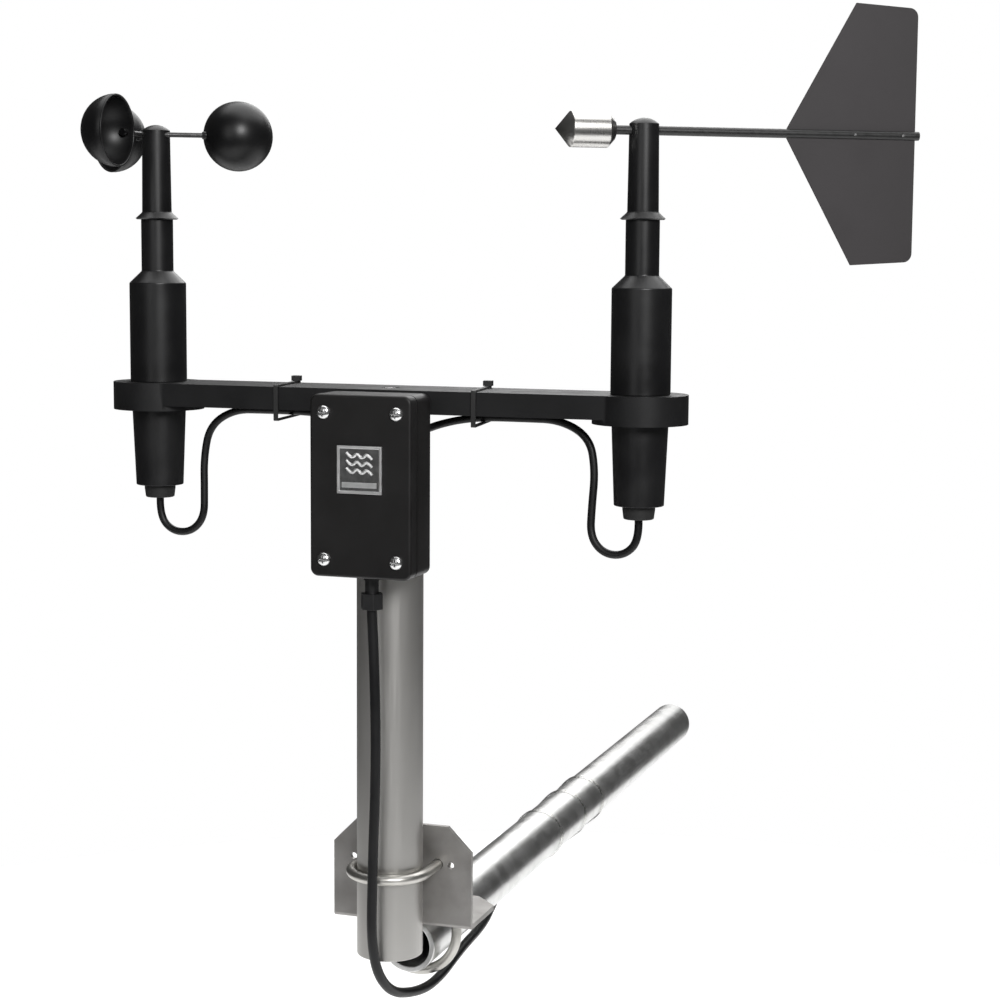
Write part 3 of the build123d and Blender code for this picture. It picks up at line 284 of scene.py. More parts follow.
# The hank's flat loops hang out from the boom's shaded side, turned down from level by this
HANK_LEAN = radians(43)
HANK_PITCH = 0.0059
HANK_OUTER_RADIUS = 0.0292
HANK_HALF_RUN = 0.037
BEND_STEP = radians(30)
hank_low, hank_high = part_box("cable_hank")
hank_middle = (hank_low + hank_high) / 2
hank_out = Vector((-cos(HANK_LEAN), 0, -sin(HANK_LEAN)))
hank_up = Vector((-sin(HANK_LEAN), 0, cos(HANK_LEAN)))


def hank_point(layer, lane, end, angle):
    """A point on one end bend: layer 0 is outermost, end is 1 at the tower side or -1."""
    radius = (HANK_OUTER_RADIUS - layer * HANK_PITCH) / cos(BEND_STEP / 2)
    slack = 0.0008 * sin(3 * layer + 5 * lane + end)
    along = end * (HANK_HALF_RUN + slack + radius * cos(angle))
    return hank_middle + hank_out * radius * sin(angle) + hank_up * lane * HANK_PITCH + Vector((0, along, 0))


cable_route = [
    (0.0027, -0.7073, 0.21275),
    (0.0044, -0.7066, 0.1700),
    (0.0040, -0.7046, 0.1180),
    (0.0012, -0.7030, 0.0620),
    (0.0003, -0.7026, 0.0110),
    (0.0032, -0.6840, -0.0152),
    (0.0088, -0.6545, -0.0246),
    (0.0118, -0.6260, -0.0266),
    (0.0144, -0.5900, -0.0172),
    (0.0106, -0.5400, -0.0188),
    (0.0006, -0.4900, -0.0212),
    (-0.0094, -0.4400, -0.0192),
    (-0.0146, -0.4000, -0.0153),
    (-0.0151, -0.3780, -0.0144),
    (-0.0116, -0.3520, -0.0181),
    (-0.0112, -0.3300, -0.0185),
]
strand_order = [(0, -1), (1, -1), (2, -1), (2, 0), (2, 1), (1, 1), (0, 1), (1, 0), (0, 0)]
bend_angles = [radians(-75) + step * BEND_STEP for step in range(6)]
for near, far in zip(strand_order, strand_order[1:]):
    cable_route += [hank_point(*near, 1, angle) for angle in bend_angles]
    cable_route += [hank_point(*far, -1, -angle) for angle in bend_angles]
connector_low, connector_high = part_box("cable_connector")
boom_side = hank_middle - hank_out * HANK_OUTER_RADIUS
cable_route += [(boom_side.x, y, boom_side.z) for y in (-0.2400, connector_low.y)]
signal_cable = round_cord("signal_cable", cable_route, CABLE_DIAMETER)
fit(signal_cable, "frame", "cable_jacket", jacket, "main_cable", "cable_hank", "cable_tail")

# ---------------------------------------------------------------- connector
# A round cable connector at the hank's free end: a soft boot, a moulded shell, a knurled
# coupling ring that turns on it, and four gold-plated pins in its socket.
PIN_SPREAD = 0.0030
PIN_RADIUS = 0.0007
RING_GROOVES = 36


def alone(piece):
    """Leaves one piece selected and active."""
    bpy.ops.object.select_all(action="DESELECT")
    piece.select_set(True)
    bpy.context.view_layer.objects.active = piece


def ease_edges(piece, width, segments=2, angle=35):
    """Breaks a piece's sharp edges with a small round and smooths its curved faces."""
    alone(piece)
    if width:
        bevel = piece.modifiers.new("eased", "BEVEL")
        bevel.width = width
        bevel.segments = segments
        bevel.limit_method = "ANGLE"
        bevel.angle_limit = radians(angle)
        bpy.ops.object.modifier_apply(modifier=bevel.name)
    bpy.ops.object.shade_smooth_by_angle(angle=radians(angle))
    if width:
        flats = piece.modifiers.new("flats", "WEIGHTED_NORMAL")
        flats.weight = 100
        flats.keep_sharp = True
        bpy.ops.object.modifier_apply(modifier=flats.name)


def turned(name, foot, axis, section, steps=48, ease=0.0):
    """A lathe-turned piece: its half section, in (radius, height) points, spun about the axis."""
    axis = Vector(axis).normalized()
    out = axis.orthogonal().normalized()
    start = Vector(foot) + out * section[0][0] + axis * section[0][1]
    bpy.ops.mesh.primitive_plane_add(size=0.001, location=start)
    piece = bpy.context.object
    piece.name = name
    bpy.ops.object.mode_set(mode="EDIT")
    bpy.ops.mesh.merge(type="CENTER")
    for here, there in zip(section, section[1:]):
        move = out * (there[0] - here[0]) + axis * (there[1] - here[1])
        bpy.ops.mesh.extrude_region_move(TRANSFORM_OT_translate={"value": move})
    bpy.ops.mesh.select_all(action="SELECT")
    bpy.ops.mesh.spin(steps=steps, angle=2 * pi, center=Vector(foot), axis=axis)
    bpy.ops.mesh.select_all(action="SELECT")
    bpy.ops.mesh.remove_doubles(threshold=1e-6)
    bpy.ops.mesh.normals_make_consistent(inside=False)
    bpy.ops.object.mode_set(mode="OBJECT")
    bpy.ops.object.transform_apply()
    ease_edges(piece, ease)
    return piece


SHELL_RADIUS = 0.0075
shell_foot = Vector((connector_low.x + SHELL_RADIUS, connector_low.y, connector_low.z + SHELL_RADIUS))
connector_length = connector_high.y - connector_low.y
boot = turned("connector_boot", (boom_side.x, connector_low.y, boom_side.z), (0, 1, 0), [
    (0.0, 0.0), (0.0032, 0.0), (0.0035, 0.0008), (0.0034, 0.003), (0.0037, 0.0034), (0.0036, 0.0056),
    (0.0039, 0.006), (0.0038, 0.0082), (0.0041, 0.0086), (0.0042, 0.0124), (0.0, 0.0124),
], ease=0.0001)
shell = turned("connector_shell", shell_foot, (0, 1, 0), [
    (0.0, 0.0120), (0.0058, 0.0120), (0.0066, 0.0132), (0.0066, 0.0250), (0.0064, connector_length),
    (0.0056, connector_length), (0.0056, connector_length - 0.009), (0.0, connector_length - 0.009),
], ease=0.0002)

# The coupling ring is a short tube whose alternate outer edges are drawn in as grooves
RING_LENGTH = 0.0125
RING_PLACE = 0.0275
RING_WALL = 0.0008
GROOVE_SHARE = 0.06
bpy.ops.mesh.primitive_cylinder_add(
    vertices=2 * RING_GROOVES, radius=SHELL_RADIUS, depth=RING_LENGTH, end_fill_type="NOTHING",
    location=shell_foot + Vector((0, RING_PLACE, 0)), rotation=(pi / 2, 0, 0),
)
ring = bpy.context.object
ring.name = "connector_ring"
bpy.ops.object.transform_apply()
for number, corner in enumerate(ring.data.vertices):
    if (number // 2) % 2 == 0:
        outward = Vector((corner.co.x - shell_foot.x, 0, corner.co.z - shell_foot.z))
        corner.co -= outward * GROOVE_SHARE
alone(ring)
wall = ring.modifiers.new("wall", "SOLIDIFY")
wall.thickness = RING_WALL
wall.offset = -1
bpy.ops.object.modifier_apply(modifier=wall.name)
ease_edges(ring, 0.0001)

pins = []
for across, up in ((-1, 0), (1, 0), (0, -1), (0, 1)):
    pin_foot = shell_foot + Vector((across * PIN_SPREAD, 0, up * PIN_SPREAD))
    pin = turned("connector_pin_" + str(len(pins) + 1), pin_foot, (0, 1, 0), [
        (0.0, connector_length - 0.0092), (PIN_RADIUS, connector_length - 0.0092),
        (PIN_RADIUS, connector_length - 0.0020), (0.0004, connector_length - 0.0014),
        (0.0, connector_length - 0.0014),
    ], steps=16)
    pins.append(pin)

nylon, nylon_tree, nylon_shader = new_finish("moulded_nylon", (0.007, 0.007, 0.0075), 0.45)
raise_grain(nylon_tree, nylon_shader, grain(nylon_tree, 900, detail=2), 0.00004, 0.5)
vary_roughness(nylon_tree, nylon_shader, grain(nylon_tree, 90), 0.36, 0.55)
gilt, gilt_tree, gilt_shader = new_finish("gilt_pins", (0.80, 0.58, 0.22), 0.28, 1.0)
vary_roughness(gilt_tree, gilt_shader, grain(gilt_tree, 700), 0.2, 0.36)
fit(boot, "frame", "cable_jacket", jacket)
fit(shell, "frame", "moulded_nylon", nylon, "cable_connector")
fit(ring, "frame", "moulded_nylon", nylon)
for pin in pins:
    fit(pin, "frame", "stainless_steel", gilt)

# ---------------------------------------------------------------- boom and mast
# The boom is a galvanised water pipe, dull and lightly mottled where the zinc froze. The mast is
# a drawn tube with a satin skin, open at its foot, and it carries a turned plug in its top.


def dress(finish, *names):
    """Puts one finish on CAD pieces that show as they are."""
    for name in names:
        nodes[name].data.materials.clear()
        nodes[name].data.materials.append(finish)


def eased(name, node, width, segments=2):
    """A CAD piece's own shape with its edges broken, worked on a merged copy of its mesh."""
    piece = bpy.data.objects.new(name, nodes[node].data.copy())
    bpy.context.scene.collection.objects.link(piece)
    alone(piece)
    if piece.data.has_custom_normals:
        bpy.ops.mesh.customdata_custom_splitnormals_clear()
    bpy.ops.object.mode_set(mode="EDIT")
    bpy.ops.mesh.select_all(action="SELECT")
    bpy.ops.mesh.remove_doubles(threshold=1e-6)
    bpy.ops.mesh.dissolve_limited(angle_limit=radians(0.5))
    bpy.ops.object.mode_set(mode="OBJECT")
    ease_edges(piece, width, segments)
    return piece


UPRIGHT = (1, 1, 0.02)
zinc, zinc_tree, zinc_shader = new_finish("dipped_zinc", (0.50, 0.50, 0.49), 0.34, 1.0)
crystals = zinc_tree.nodes.new("ShaderNodeTexVoronoi")
crystals.inputs["Scale"].default_value = 130
crystal_place = zinc_tree.nodes.new("ShaderNodeTexCoord")
zinc_tree.links.new(crystal_place.outputs["Object"], crystals.inputs["Vector"])
crystal_grey = zinc_tree.nodes.new("ShaderNodeSeparateColor")
zinc_tree.links.new(crystals.outputs["Color"], crystal_grey.inputs["Color"])
vary_colour(zinc_tree, zinc_shader, crystal_grey.outputs["Red"], (0.63, 0.63, 0.62), (0.68, 0.68, 0.67))
vary_roughness(zinc_tree, zinc_shader, crystal_grey.outputs["Green"], 0.33, 0.38)
raise_grain(zinc_tree, zinc_shader, grain(zinc_tree, 70, detail=1), 0.000008, 0.2)

satin, satin_tree, satin_shader = new_finish("drawn_tube", (0.52, 0.51, 0.49), 0.40, 1.0)
draw_lines = grain(satin_tree, 900, UPRIGHT, detail=5)
raise_grain(satin_tree, satin_shader, draw_lines, 0.00001, 0.4)
vary_roughness(satin_tree, satin_shader, draw_lines, 0.38, 0.44)
vary_colour(satin_tree, satin_shader, grain(satin_tree, 14), (0.50, 0.49, 0.47), (0.56, 0.55, 0.53))

turned_alloy, alloy_tree, alloy_shader = new_finish("turned_alloy", (0.66, 0.66, 0.66), 0.34, 1.0)
raise_grain(alloy_tree, alloy_shader, grain(alloy_tree, 900, (0.05, 0.05, 1)), 0.00003, 0.5)
vary_roughness(alloy_tree, alloy_shader, grain(alloy_tree, 120), 0.26, 0.42)

fit(eased("boom_pipe", "boom", 0.0008), "frame", "galvanised_steel", zinc, "boom")
fit(eased("mast_tube", "mast", 0.0005), "frame", "galvanised_steel", satin, "mast")
fit(eased("plug_in_mast", "mast_plug", 0.0004), "frame", "plug_aluminium", turned_alloy, "mast_plug")

# ---------------------------------------------------------------- bracket and U-bolts
# Folded and dipped sheet steel: one leaf stands behind the mast and the other lies on the boom.
# Two bright zinc-plated U-bolts go round the tubes, each with a thread, washer and nut on a leg.
THREAD_PITCH = 0.0010
ROD_RADIUS = 0.0030
THREAD_LENGTH = 0.013

sheet_zinc, sheet_tree, sheet_shader = new_finish("dipped_sheet", (0.42, 0.41, 0.40), 0.45, 0.8)
vary_colour(sheet_tree, sheet_shader, grain(sheet_tree, 55, detail=6), (0.27, 0.26, 0.25), (0.35, 0.34, 0.33))
vary_roughness(sheet_tree, sheet_shader, grain(sheet_tree, 80), 0.36, 0.56)
raise_grain(sheet_tree, sheet_shader, grain(sheet_tree, 240), 0.00008, 0.3)
plated, plated_tree, plated_shader = new_finish("bright_plate", (0.50, 0.49, 0.46), 0.40, 1.0)
vary_colour(plated_tree, plated_shader, grain(plated_tree, 90), (0.46, 0.45, 0.42), (0.55, 0.54, 0.51))
vary_roughness(plated_tree, plated_shader, grain(plated_tree, 300), 0.36, 0.44)
raise_grain(plated_tree, plated_shader, grain(plated_tree, 600), 0.000002, 0.3)

fit(eased("bracket_plate", "bracket", 0.0006), "frame", "galvanised_steel", sheet_zinc, "bracket")
dress(plated, "mast_u_bolt", "boom_u_bolt")
for tube in ("mast", "boom"):
    nuts = eased(tube + "_bolt_nuts", tube + "_u_bolt_nuts", 0.0004)
    fit(nuts, "frame", "plated_fastener", plated, tube + "_u_bolt_nuts")


def thread(name, tip, axis):
    """A helical ridge wound on a rod, back from its tip."""
    bpy.ops.mesh.primitive_plane_add(size=0.001, location=(ROD_RADIUS - 0.0002, 0, 0))
    ridge = bpy.context.object
    ridge.name = name
    bpy.ops.object.mode_set(mode="EDIT")
    bpy.ops.mesh.merge(type="CENTER")
    for move in ((0.00045, 0, THREAD_PITCH / 2), (-0.00045, 0, THREAD_PITCH / 2)):
        bpy.ops.mesh.extrude_region_move(TRANSFORM_OT_translate={"value": move})
    bpy.ops.object.mode_set(mode="OBJECT")
    bpy.ops.object.transform_apply()
    winding = ridge.modifiers.new("winding", "SCREW")
    winding.angle = 2 * pi
    winding.screw_offset = THREAD_PITCH
    winding.iterations = round(THREAD_LENGTH / THREAD_PITCH)
    winding.steps = 24
    winding.render_steps = 24
    winding.use_merge_vertices = True
    bpy.ops.object.modifier_apply(modifier=winding.name)
    foot = Vector(tip) - Vector(axis) * (THREAD_LENGTH + THREAD_PITCH + 0.0006)
    ridge.matrix_world = Matrix.Translation(foot) @ Vector(axis).to_track_quat("Z", "Y").to_matrix().to_4x4()
    bpy.ops.object.transform_apply()
    bpy.ops.object.mode_set(mode="EDIT")
    bpy.ops.mesh.select_all(action="SELECT")
    bpy.ops.mesh.remove_doubles(threshold=1e-6)
    bpy.ops.mesh.normals_make_consistent(inside=False)
    bpy.ops.object.mode_set(mode="OBJECT")
    ease_edges(ridge, 0)
    return ridge


mast_bolt_low, mast_bolt_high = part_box("mast_u_bolt")
boom_bolt_low, boom_bolt_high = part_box("boom_u_bolt")
mast_bolt_middle = (mast_bolt_low + mast_bolt_high) / 2
boom_bolt_middle = (boom_bolt_low + boom_bolt_high) / 2
for side, name in ((-1, "left"), (1, "right")):
    mast_leg = side * (mast_bolt_high.x - ROD_RADIUS)
    boom_leg = side * (boom_bolt_high.x - ROD_RADIUS)
    mast_tip = (mast_leg, mast_bolt_high.y, mast_bolt_middle.z)
    boom_tip = (boom_leg, boom_bolt_middle.y, boom_bolt_high.z)
    fit(thread("mast_bolt_thread_" + name, mast_tip, (0, 1, 0)), "frame", "plated_fastener", plated)
    fit(thread("boom_bolt_thread_" + name, boom_tip, (0, 0, 1)), "frame", "plated_fastener", plated)

# ---------------------------------------------------------------- crossarm
# A flat aluminium bar with a round collar at each end for a sensor, powder coated black. One
# countersunk screw holds it down on the plug in the mast's top.
coat, coat_tree, coat_shader = new_finish("black_powder_coat", (0.006, 0.006, 0.0065), 0.46)
coat_shader.inputs["Specular IOR Level"].default_value = 0.35
raise_grain(coat_tree, coat_shader, grain(coat_tree, 520, detail=3), 0.00008, 0.45)
vary_roughness(coat_tree, coat_shader, grain(coat_tree, 60), 0.40, 0.56)
vary_colour(coat_tree, coat_shader, grain(coat_tree, 25), (0.004, 0.004, 0.0045), (0.009, 0.009, 0.0095))
bright_steel, steel_tree, steel_shader = new_finish("bright_steel", (0.74, 0.74, 0.74), 0.24, 1.0)
vary_roughness(steel_tree, steel_shader, grain(steel_tree, 500), 0.18, 0.32)
raise_grain(steel_tree, steel_shader, grain(steel_tree, 900), 0.00002, 0.4)
fit(eased("arm_bar", "crossarm", 0.0007), "frame", "black_painted_aluminium", coat, "crossarm")
fit(eased("arm_screw_bright", "arm_screw", 0.0002), "frame", "stainless_steel", bright_steel, "arm_screw")

# ---------------------------------------------------------------- sensor bodies
# Turned black plastic: a stout body, a cone and a slim neck above the arm, and a tapered cover
# screwed on from below with a rubber collar round the lead.
BODY_NODES = ("housing", "base")
black_plastic, plastic_tree, plastic_shader = new_finish("turned_black_plastic", (0.006, 0.006, 0.0065), 0.36)
plastic_shader.inputs["Specular IOR Level"].default_value = 0.45
tool_marks = grain(plastic_tree, 1100, (0.04, 0.04, 1), detail=3)
raise_grain(plastic_tree, plastic_shader, tool_marks, 0.00003, 0.5)
vary_roughness(plastic_tree, plastic_shader, grain(plastic_tree, 50), 0.30, 0.46)
vary_colour(
    plastic_tree, plastic_shader, grain(plastic_tree, 20), (0.004, 0.004, 0.0045), (0.009, 0.009, 0.0095)
)
rubber, rubber_tree, rubber_shader = new_finish("soft_rubber", (0.007, 0.007, 0.007), 0.7)
raise_grain(rubber_tree, rubber_shader, grain(rubber_tree, 700), 0.00005, 0.5)
vary_roughness(rubber_tree, rubber_shader, grain(rubber_tree, 90), 0.6, 0.8)
for side in ("cup", "vane"):
    for part in BODY_NODES:
        body = eased(side + "_side_" + part, side + "_" + part, 0.0005)
        fit(body, "frame", "black_plastic", black_plastic, side + "_" + part)
    collar = eased(side + "_side_collar", side + "_strain_relief", 0.0006)
    fit(collar, "frame", "rubber", rubber, side + "_strain_relief")

# Inside each sensor: ball bearings on a plain shaft, a coil round a ring magnet on the cup side
# and a potentiometer with its wiper disc on the vane side.
copper, copper_tree, copper_shader = new_finish("enamelled_copper", (0.50, 0.20, 0.07), 0.3, 0.9)
raise_grain(copper_tree, copper_shader, grain(copper_tree, 2500, (0.02, 0.02, 1)), 0.0001, 0.8)
vary_roughness(copper_tree, copper_shader, grain(copper_tree, 200), 0.24, 0.4)
ferrite, ferrite_tree, ferrite_shader = new_finish("sintered_ferrite", (0.06, 0.06, 0.065), 0.6, 0.3)
raise_grain(ferrite_tree, ferrite_shader, grain(ferrite_tree, 1600), 0.00005, 0.7)
vary_roughness(ferrite_tree, ferrite_shader, grain(ferrite_tree, 300), 0.5, 0.7)
dress(copper, "cup_coil")
dress(ferrite, "cup_magnet")
dress(nylon, "vane_potentiometer", "vane_wiper")
dress(bright_steel, "cup_shaft", "vane_shaft", "cup_bearing_upper", "cup_bearing_lower")
dress(bright_steel, "vane_bearing_upper", "vane_bearing_lower")

# ---------------------------------------------------------------- cup wheel
# A black hub with a rain skirt turns on the shaft, held by one grub screw. Three thin rods carry
# moulded half-ball cups with a rounded lip, all facing the same way round.
CUP_COUNT = 3
SHELL_OUTER = 0.0202
SHELL_WALL = 0.0012
LIP_RADIUS = 0.0006
CUP_REACH = 0.0473
CUP_START = radians(31.1)
BOSS_RADIUS = 0.0023
ROD_OFFSET = 0.0050
ARC_STEPS = 16

cup_hub_low, cup_hub_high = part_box("cup_hub")
cup_hub_middle = (cup_hub_low + cup_hub_high) / 2
cup_low, cup_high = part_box("cup_1")
cup_level = (cup_low.z + cup_high.z) / 2
shell_inner = SHELL_OUTER - SHELL_WALL
outer_arc = [
    (SHELL_OUTER * cos(step * pi / 2 / ARC_STEPS), -SHELL_OUTER * sin(step * pi / 2 / ARC_STEPS))
    for step in range(ARC_STEPS + 1)
]
inner_arc = [(r * shell_inner / SHELL_OUTER, h * shell_inner / SHELL_OUTER) for r, h in reversed(outer_arc)]
lip = [
    (shell_inner + LIP_RADIUS + LIP_RADIUS * cos(turn), LIP_RADIUS * sin(turn))
    for turn in (radians(150 - 30 * step) for step in range(9))
]
cup_plastic, cup_tree, cup_shader = new_finish("cup_plastic", (0.003, 0.003, 0.0033), 0.40)
cup_shader.inputs["Specular IOR Level"].default_value = 0.4
raise_grain(cup_tree, cup_shader, grain(cup_tree, 800, detail=3), 0.00003, 0.45)
vary_roughness(cup_tree, cup_shader, grain(cup_tree, 45), 0.36, 0.46)
dark_rod, rod_tree, rod_shader = new_finish("blacked_steel_rod", (0.05, 0.05, 0.05), 0.38, 0.7)
vary_roughness(rod_tree, rod_shader, grain(rod_tree, 400), 0.3, 0.5)
raise_grain(rod_tree, rod_shader, grain(rod_tree, 900), 0.00002, 0.5)

first_cup = turned("cup_shell_1", (0, 0, 0), (0, 1, 0), [*inner_arc, *lip, *outer_arc[1:]], steps=72)
boss_inner = CUP_REACH - SHELL_OUTER - 0.0010
boss = turned("cup_boss", (boss_inner - CUP_REACH, -ROD_OFFSET, 0), (1, 0, 0), [
    (0.0, 0.0), (BOSS_RADIUS - 0.0004, 0.0), (BOSS_RADIUS, 0.0006),
    (BOSS_RADIUS, 0.0056), (0.0019, 0.0062), (0.0, 0.0062),
], steps=32)
alone(first_cup)
boss.select_set(True)
bpy.ops.object.join()
ease_edges(first_cup, 0, angle=40)
cups = [first_cup]
for number in range(2, CUP_COUNT + 1):
    bpy.ops.object.select_all(action="DESELECT")
    first_cup.select_set(True)
    bpy.context.view_layer.objects.active = first_cup
    bpy.ops.object.duplicate()
    cups.append(bpy.context.object)
    cups[-1].name = "cup_shell_" + str(number)
for number, cup in enumerate(cups):
    swing = Matrix.Rotation(CUP_START + number * 2 * pi / CUP_COUNT, 4, "Z")
    wheel_middle = Matrix.Translation((cup_hub_middle.x, cup_hub_middle.y, cup_level))
    cup.data.transform(wheel_middle @ swing @ Matrix.Translation((CUP_REACH, 0, 0)))
    fit(cup, "cup_wheel", "cup_plastic", cup_plastic, "cup_" + str(number + 1))
    dress(dark_rod, "cup_rod_" + str(number + 1))
fit(eased("cup_wheel_hub", "cup_hub", 0.0003), "cup_wheel", "black_plastic", black_plastic, "cup_hub")
dress(bright_steel, "cup_hub_screw", "vane_hub_screw")

# ---------------------------------------------------------------- vane
# A flat dark fin is pinned in the slotted end of a blacked rod, which passes through the vane's
# hub to a bright turned counterweight with a conical nose.
VANE_TURN = radians(32.3)
AROUND_ROD = (0, 0, VANE_TURN)

weight_metal, weight_tree, weight_shader = new_finish("turned_bright_metal", (0.62, 0.61, 0.59), 0.28, 1.0)
turning_rings = grain(weight_tree, 1000, (1, 0.03, 0.03), AROUND_ROD, detail=3)
raise_grain(weight_tree, weight_shader, turning_rings, 0.0000008, 0.3)
vary_roughness(weight_tree, weight_shader, turning_rings, 0.27, 0.30)
fin_sheet, fin_tree, fin_shader = new_finish("dark_fin_sheet", (0.036, 0.032, 0.034), 0.55)
raise_grain(fin_tree, fin_shader, grain(fin_tree, 420, detail=3), 0.00005, 0.4)
vary_roughness(fin_tree, fin_shader, grain(fin_tree, 30), 0.48, 0.64)
vary_colour(fin_tree, fin_shader, grain(fin_tree, 12), (0.027, 0.024, 0.025), (0.033, 0.029, 0.031))

weight = eased("vane_weight", "vane_counterweight", 0.0004)
fit(weight, "wind_vane", "bright_turned_metal", weight_metal, "vane_counterweight")
fit(eased("vane_fin_sheet", "vane_fin", 0.0002), "wind_vane", "fin_sheet", fin_sheet, "vane_fin")
fit(eased("vane_rod_slotted", "vane_rod", 0.0002), "wind_vane", "dark_steel_rod", dark_rod, "vane_rod")
fit(eased("vane_wheel_hub", "vane_hub", 0.0003), "wind_vane", "black_plastic", black_plastic, "vane_hub")
dress(bright_steel, "fin_pins")

# ---------------------------------------------------------------- junction box
# Two black moulded shells with a rubber gasket between them, closed by four bright domed screws
# with crossed slots. Inside, a terminal strip joins the leads to the signal cable.
HEAD_RADIUS = 0.00385
HEAD_HEIGHT = 0.0026
SLOT_LENGTH = 0.0046
SLOT_WIDTH = 0.0008
SLOT_REACH = 0.0028
HEAD_GAP = 0.00005
HEAD_RIM = 0.0004

box_plastic, box_tree, box_shader = new_finish("box_plastic", (0.0065, 0.006, 0.006), 0.44)
box_shader.inputs["Specular IOR Level"].default_value = 0.35
raise_grain(box_tree, box_shader, grain(box_tree, 620, detail=3), 0.00007, 0.5)
vary_roughness(box_tree, box_shader, grain(box_tree, 40), 0.38, 0.54)
vary_colour(box_tree, box_shader, grain(box_tree, 18), (0.0045, 0.004, 0.004), (0.0095, 0.009, 0.009))
fit(eased("box_back_shell", "box_base", 0.0006), "frame", "box_plastic", box_plastic, "box_base")
fit(eased("box_front_shell", "box_lid", 0.0003), "frame", "box_plastic", box_plastic, "box_lid")
dress(rubber, "lid_gasket", "lead_grommets")
dress(nylon, "terminal_strip", "gland_body", "gland_locknut")
dress(bright_steel, "terminal_screws", "box_screws")

lid_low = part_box("box_lid")[0]
screws_low, screws_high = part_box("lid_screws")
half_circle = [(HEAD_RADIUS * cos(turn), turn) for turn in (radians(15 * step) for step in range(7))]
head_section = [(0.0, 0.0), (HEAD_RADIUS, 0.0), (HEAD_RADIUS, HEAD_RIM)]
head_section += [
    (radius, HEAD_RIM + (HEAD_HEIGHT - HEAD_RIM) * sin(turn)) for radius, turn in half_circle[1:-1]
]
head_section += [(0.0, HEAD_HEIGHT)]
heads = []
for x in (screws_low.x + HEAD_RADIUS, screws_high.x - HEAD_RADIUS):
    for z in (screws_low.z + HEAD_RADIUS, screws_high.z - HEAD_RADIUS):
        head_name = "lid_screw_head_" + str(len(heads) + 1)
        head = turned(head_name, (x, lid_low.y - HEAD_GAP, z), (0, -1, 0), head_section, steps=40)
        for size in ((SLOT_LENGTH, SLOT_WIDTH), (SLOT_WIDTH, SLOT_LENGTH)):
            bpy.ops.mesh.primitive_cube_add(
                size=1, location=(x, lid_low.y - HEAD_HEIGHT, z), scale=(size[0], SLOT_REACH, size[1]),
            )
            cutter = bpy.context.object
            alone(head)
            slot = head.modifiers.new("slot", "BOOLEAN")
            slot.object = cutter
            bpy.ops.object.modifier_apply(modifier=slot.name)
            bpy.data.objects.remove(cutter)
        ease_edges(head, 0.00008)
        heads.append(head)
        if len(heads) == 1:
            fit(head, "frame", "stainless_steel", bright_steel, "lid_screws")
        else:
            fit(head, "frame", "stainless_steel", bright_steel)

# ---------------------------------------------------------------- label
# A square metal plate glued to the lid: a bright rim round a dark panel, with three plain wind
# lines raised on it above a plain bar. It carries no lettering.
RIM = 0.0014
PANEL_DEPTH = 0.0005
LINE_LIFTS = (0.0076, 0.0034, -0.0008)
LINE_BEND = 0.0018
LINE_STEP = 0.0030
LINE_RADIUS = 0.0009
plate_low, plate_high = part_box("label_plate")
plate_middle = (plate_low + plate_high) / 2
plate_side = plate_high.x - plate_low.x

bpy.ops.mesh.primitive_cube_add(size=1, location=plate_middle, scale=plate_high - plate_low)
plate = bpy.context.object
plate.name = "label_rim"
bpy.ops.object.transform_apply()
bpy.ops.object.mode_set(mode="EDIT")
bpy.ops.mesh.select_mode(type="FACE")
bpy.ops.mesh.select_all(action="DESELECT")
bpy.ops.object.mode_set(mode="OBJECT")
for face in plate.data.polygons:
    face.select = face.normal.y < -0.5
bpy.ops.object.mode_set(mode="EDIT")
bpy.ops.mesh.inset(thickness=RIM)
bpy.ops.mesh.extrude_region_move(TRANSFORM_OT_translate={"value": (0, PANEL_DEPTH, 0)})
bpy.ops.mesh.select_mode(type="VERT")
bpy.ops.object.mode_set(mode="OBJECT")
ease_edges(plate, 0.00025)

bpy.ops.mesh.primitive_grid_add(x_subdivisions=2, y_subdivisions=2, size=plate_side - 2 * RIM - 0.0006)
panel = bpy.context.object
panel.name = "label_panel"
panel.data.transform(
    Matrix.Translation((plate_middle.x, plate_low.y + PANEL_DEPTH - 0.0001, plate_middle.z))
    @ Matrix.Rotation(pi / 2, 4, "X")
)
alone(panel)
sheet = panel.modifiers.new("sheet", "SOLIDIFY")
sheet.thickness = 0.0002
bpy.ops.object.modifier_apply(modifier=sheet.name)

lines = []
for number, lift in enumerate(LINE_LIFTS):
    stroke = bpy.data.curves.new("wind_line", "CURVE")
    stroke.dimensions = "3D"
    stroke.bevel_depth = LINE_RADIUS
    stroke.bevel_resolution = 3
    stroke.use_fill_caps = True
    spline = stroke.splines.new("NURBS")
    spline.points.add(5)
    for step, point in enumerate(spline.points):
        across = (step - 2.5) * LINE_STEP
        height = plate_middle.z + lift + LINE_BEND * (-1) ** step
        point.co = (plate_middle.x + across, plate_low.y + PANEL_DEPTH, height, 1)
    spline.order_u = 3
    spline.use_endpoint_u = True
    line = bpy.data.objects.new("wind_line_" + str(number + 1), stroke)
    bpy.context.scene.collection.objects.link(line)
    alone(line)
    bpy.ops.object.convert(target="MESH")
    ease_edges(line, 0)
    lines.append(line)
bpy.ops.mesh.primitive_cube_add(
    size=1, location=(plate_middle.x, plate_low.y + PANEL_DEPTH - 0.0003, plate_middle.z - 0.0083),
    scale=(plate_side - 2 * RIM - 0.0030, 0.0006, 0.0030),
)
bar = bpy.context.object
bar.name = "label_bar"
bpy.ops.object.transform_apply()
ease_edges(bar, 0.00015)

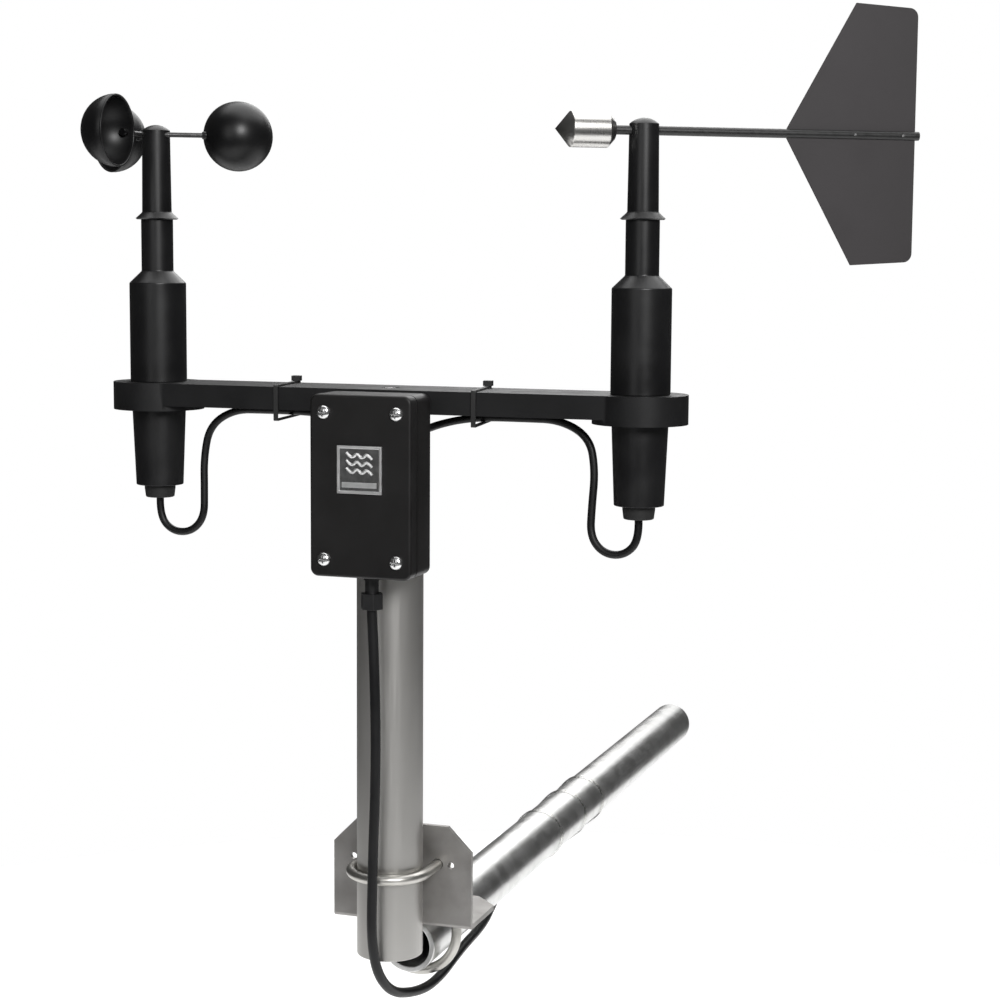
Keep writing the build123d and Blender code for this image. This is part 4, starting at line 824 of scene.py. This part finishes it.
rim_metal, rim_tree, rim_shader = new_finish("label_rim_metal", (0.85, 0.85, 0.85), 0.34, 0.9)
raise_grain(rim_tree, rim_shader, grain(rim_tree, 1500, (0.05, 1, 1)), 0.00002, 0.5)
vary_roughness(rim_tree, rim_shader, grain(rim_tree, 300), 0.28, 0.42)
panel_paint, panel_tree, panel_shader = new_finish("label_panel_paint", (0.16, 0.16, 0.16), 0.4, 0.4)
vary_colour(panel_tree, panel_shader, grain(panel_tree, 200), (0.06, 0.06, 0.06), (0.11, 0.11, 0.11))
raise_grain(panel_tree, panel_shader, grain(panel_tree, 1800), 0.00002, 0.5)
fit(plate, "frame", "label_metal", rim_metal, "label_plate")
fit(panel, "frame", "label_metal", panel_paint)
for line in lines:
    fit(line, "frame", "label_metal", rim_metal)
fit(bar, "frame", "label_metal", rim_metal)

# ---------------------------------------------------------------- cable gland and ties
# The gland's six-sided nut squeezes a seal on the signal cable below the box. Black ties hold
# the leads under the crossarm, and clear ones hold the cable and its hank on the boom.
fit(eased("gland_cap_nut", "gland_nut", 0.0004), "frame", "moulded_nylon", nylon, "gland_nut")
tie_black, tie_black_tree, tie_black_shader = new_finish("black_tie", (0.012, 0.012, 0.012), 0.4)
raise_grain(tie_black_tree, tie_black_shader, grain(tie_black_tree, 900), 0.00003, 0.4)
vary_roughness(tie_black_tree, tie_black_shader, grain(tie_black_tree, 200), 0.32, 0.48)
tie_clear, tie_clear_tree, tie_clear_shader = new_finish("clear_tie", (0.80, 0.80, 0.79), 0.25)
tie_clear_shader.inputs["Transmission Weight"].default_value = 1.0
tie_clear_shader.inputs["IOR"].default_value = 1.2
vary_colour(
    tie_clear_tree, tie_clear_shader, grain(tie_clear_tree, 60), (0.74, 0.74, 0.72), (0.86, 0.86, 0.85)
)
raise_grain(tie_clear_tree, tie_clear_shader, grain(tie_clear_tree, 900), 0.00003, 0.4)
vary_roughness(tie_clear_tree, tie_clear_shader, grain(tie_clear_tree, 200), 0.2, 0.32)
fit(eased("lead_ties", "arm_ties", 0.0002), "frame", "black_tie_nylon", tie_black, "arm_ties")
fit(eased("cable_ties", "boom_ties", 0.0002), "frame", "natural_tie_nylon", tie_clear, "boom_ties")

for piece in nodes.values():
    if not piece.hide_render:
        ease_edges(piece, 0)
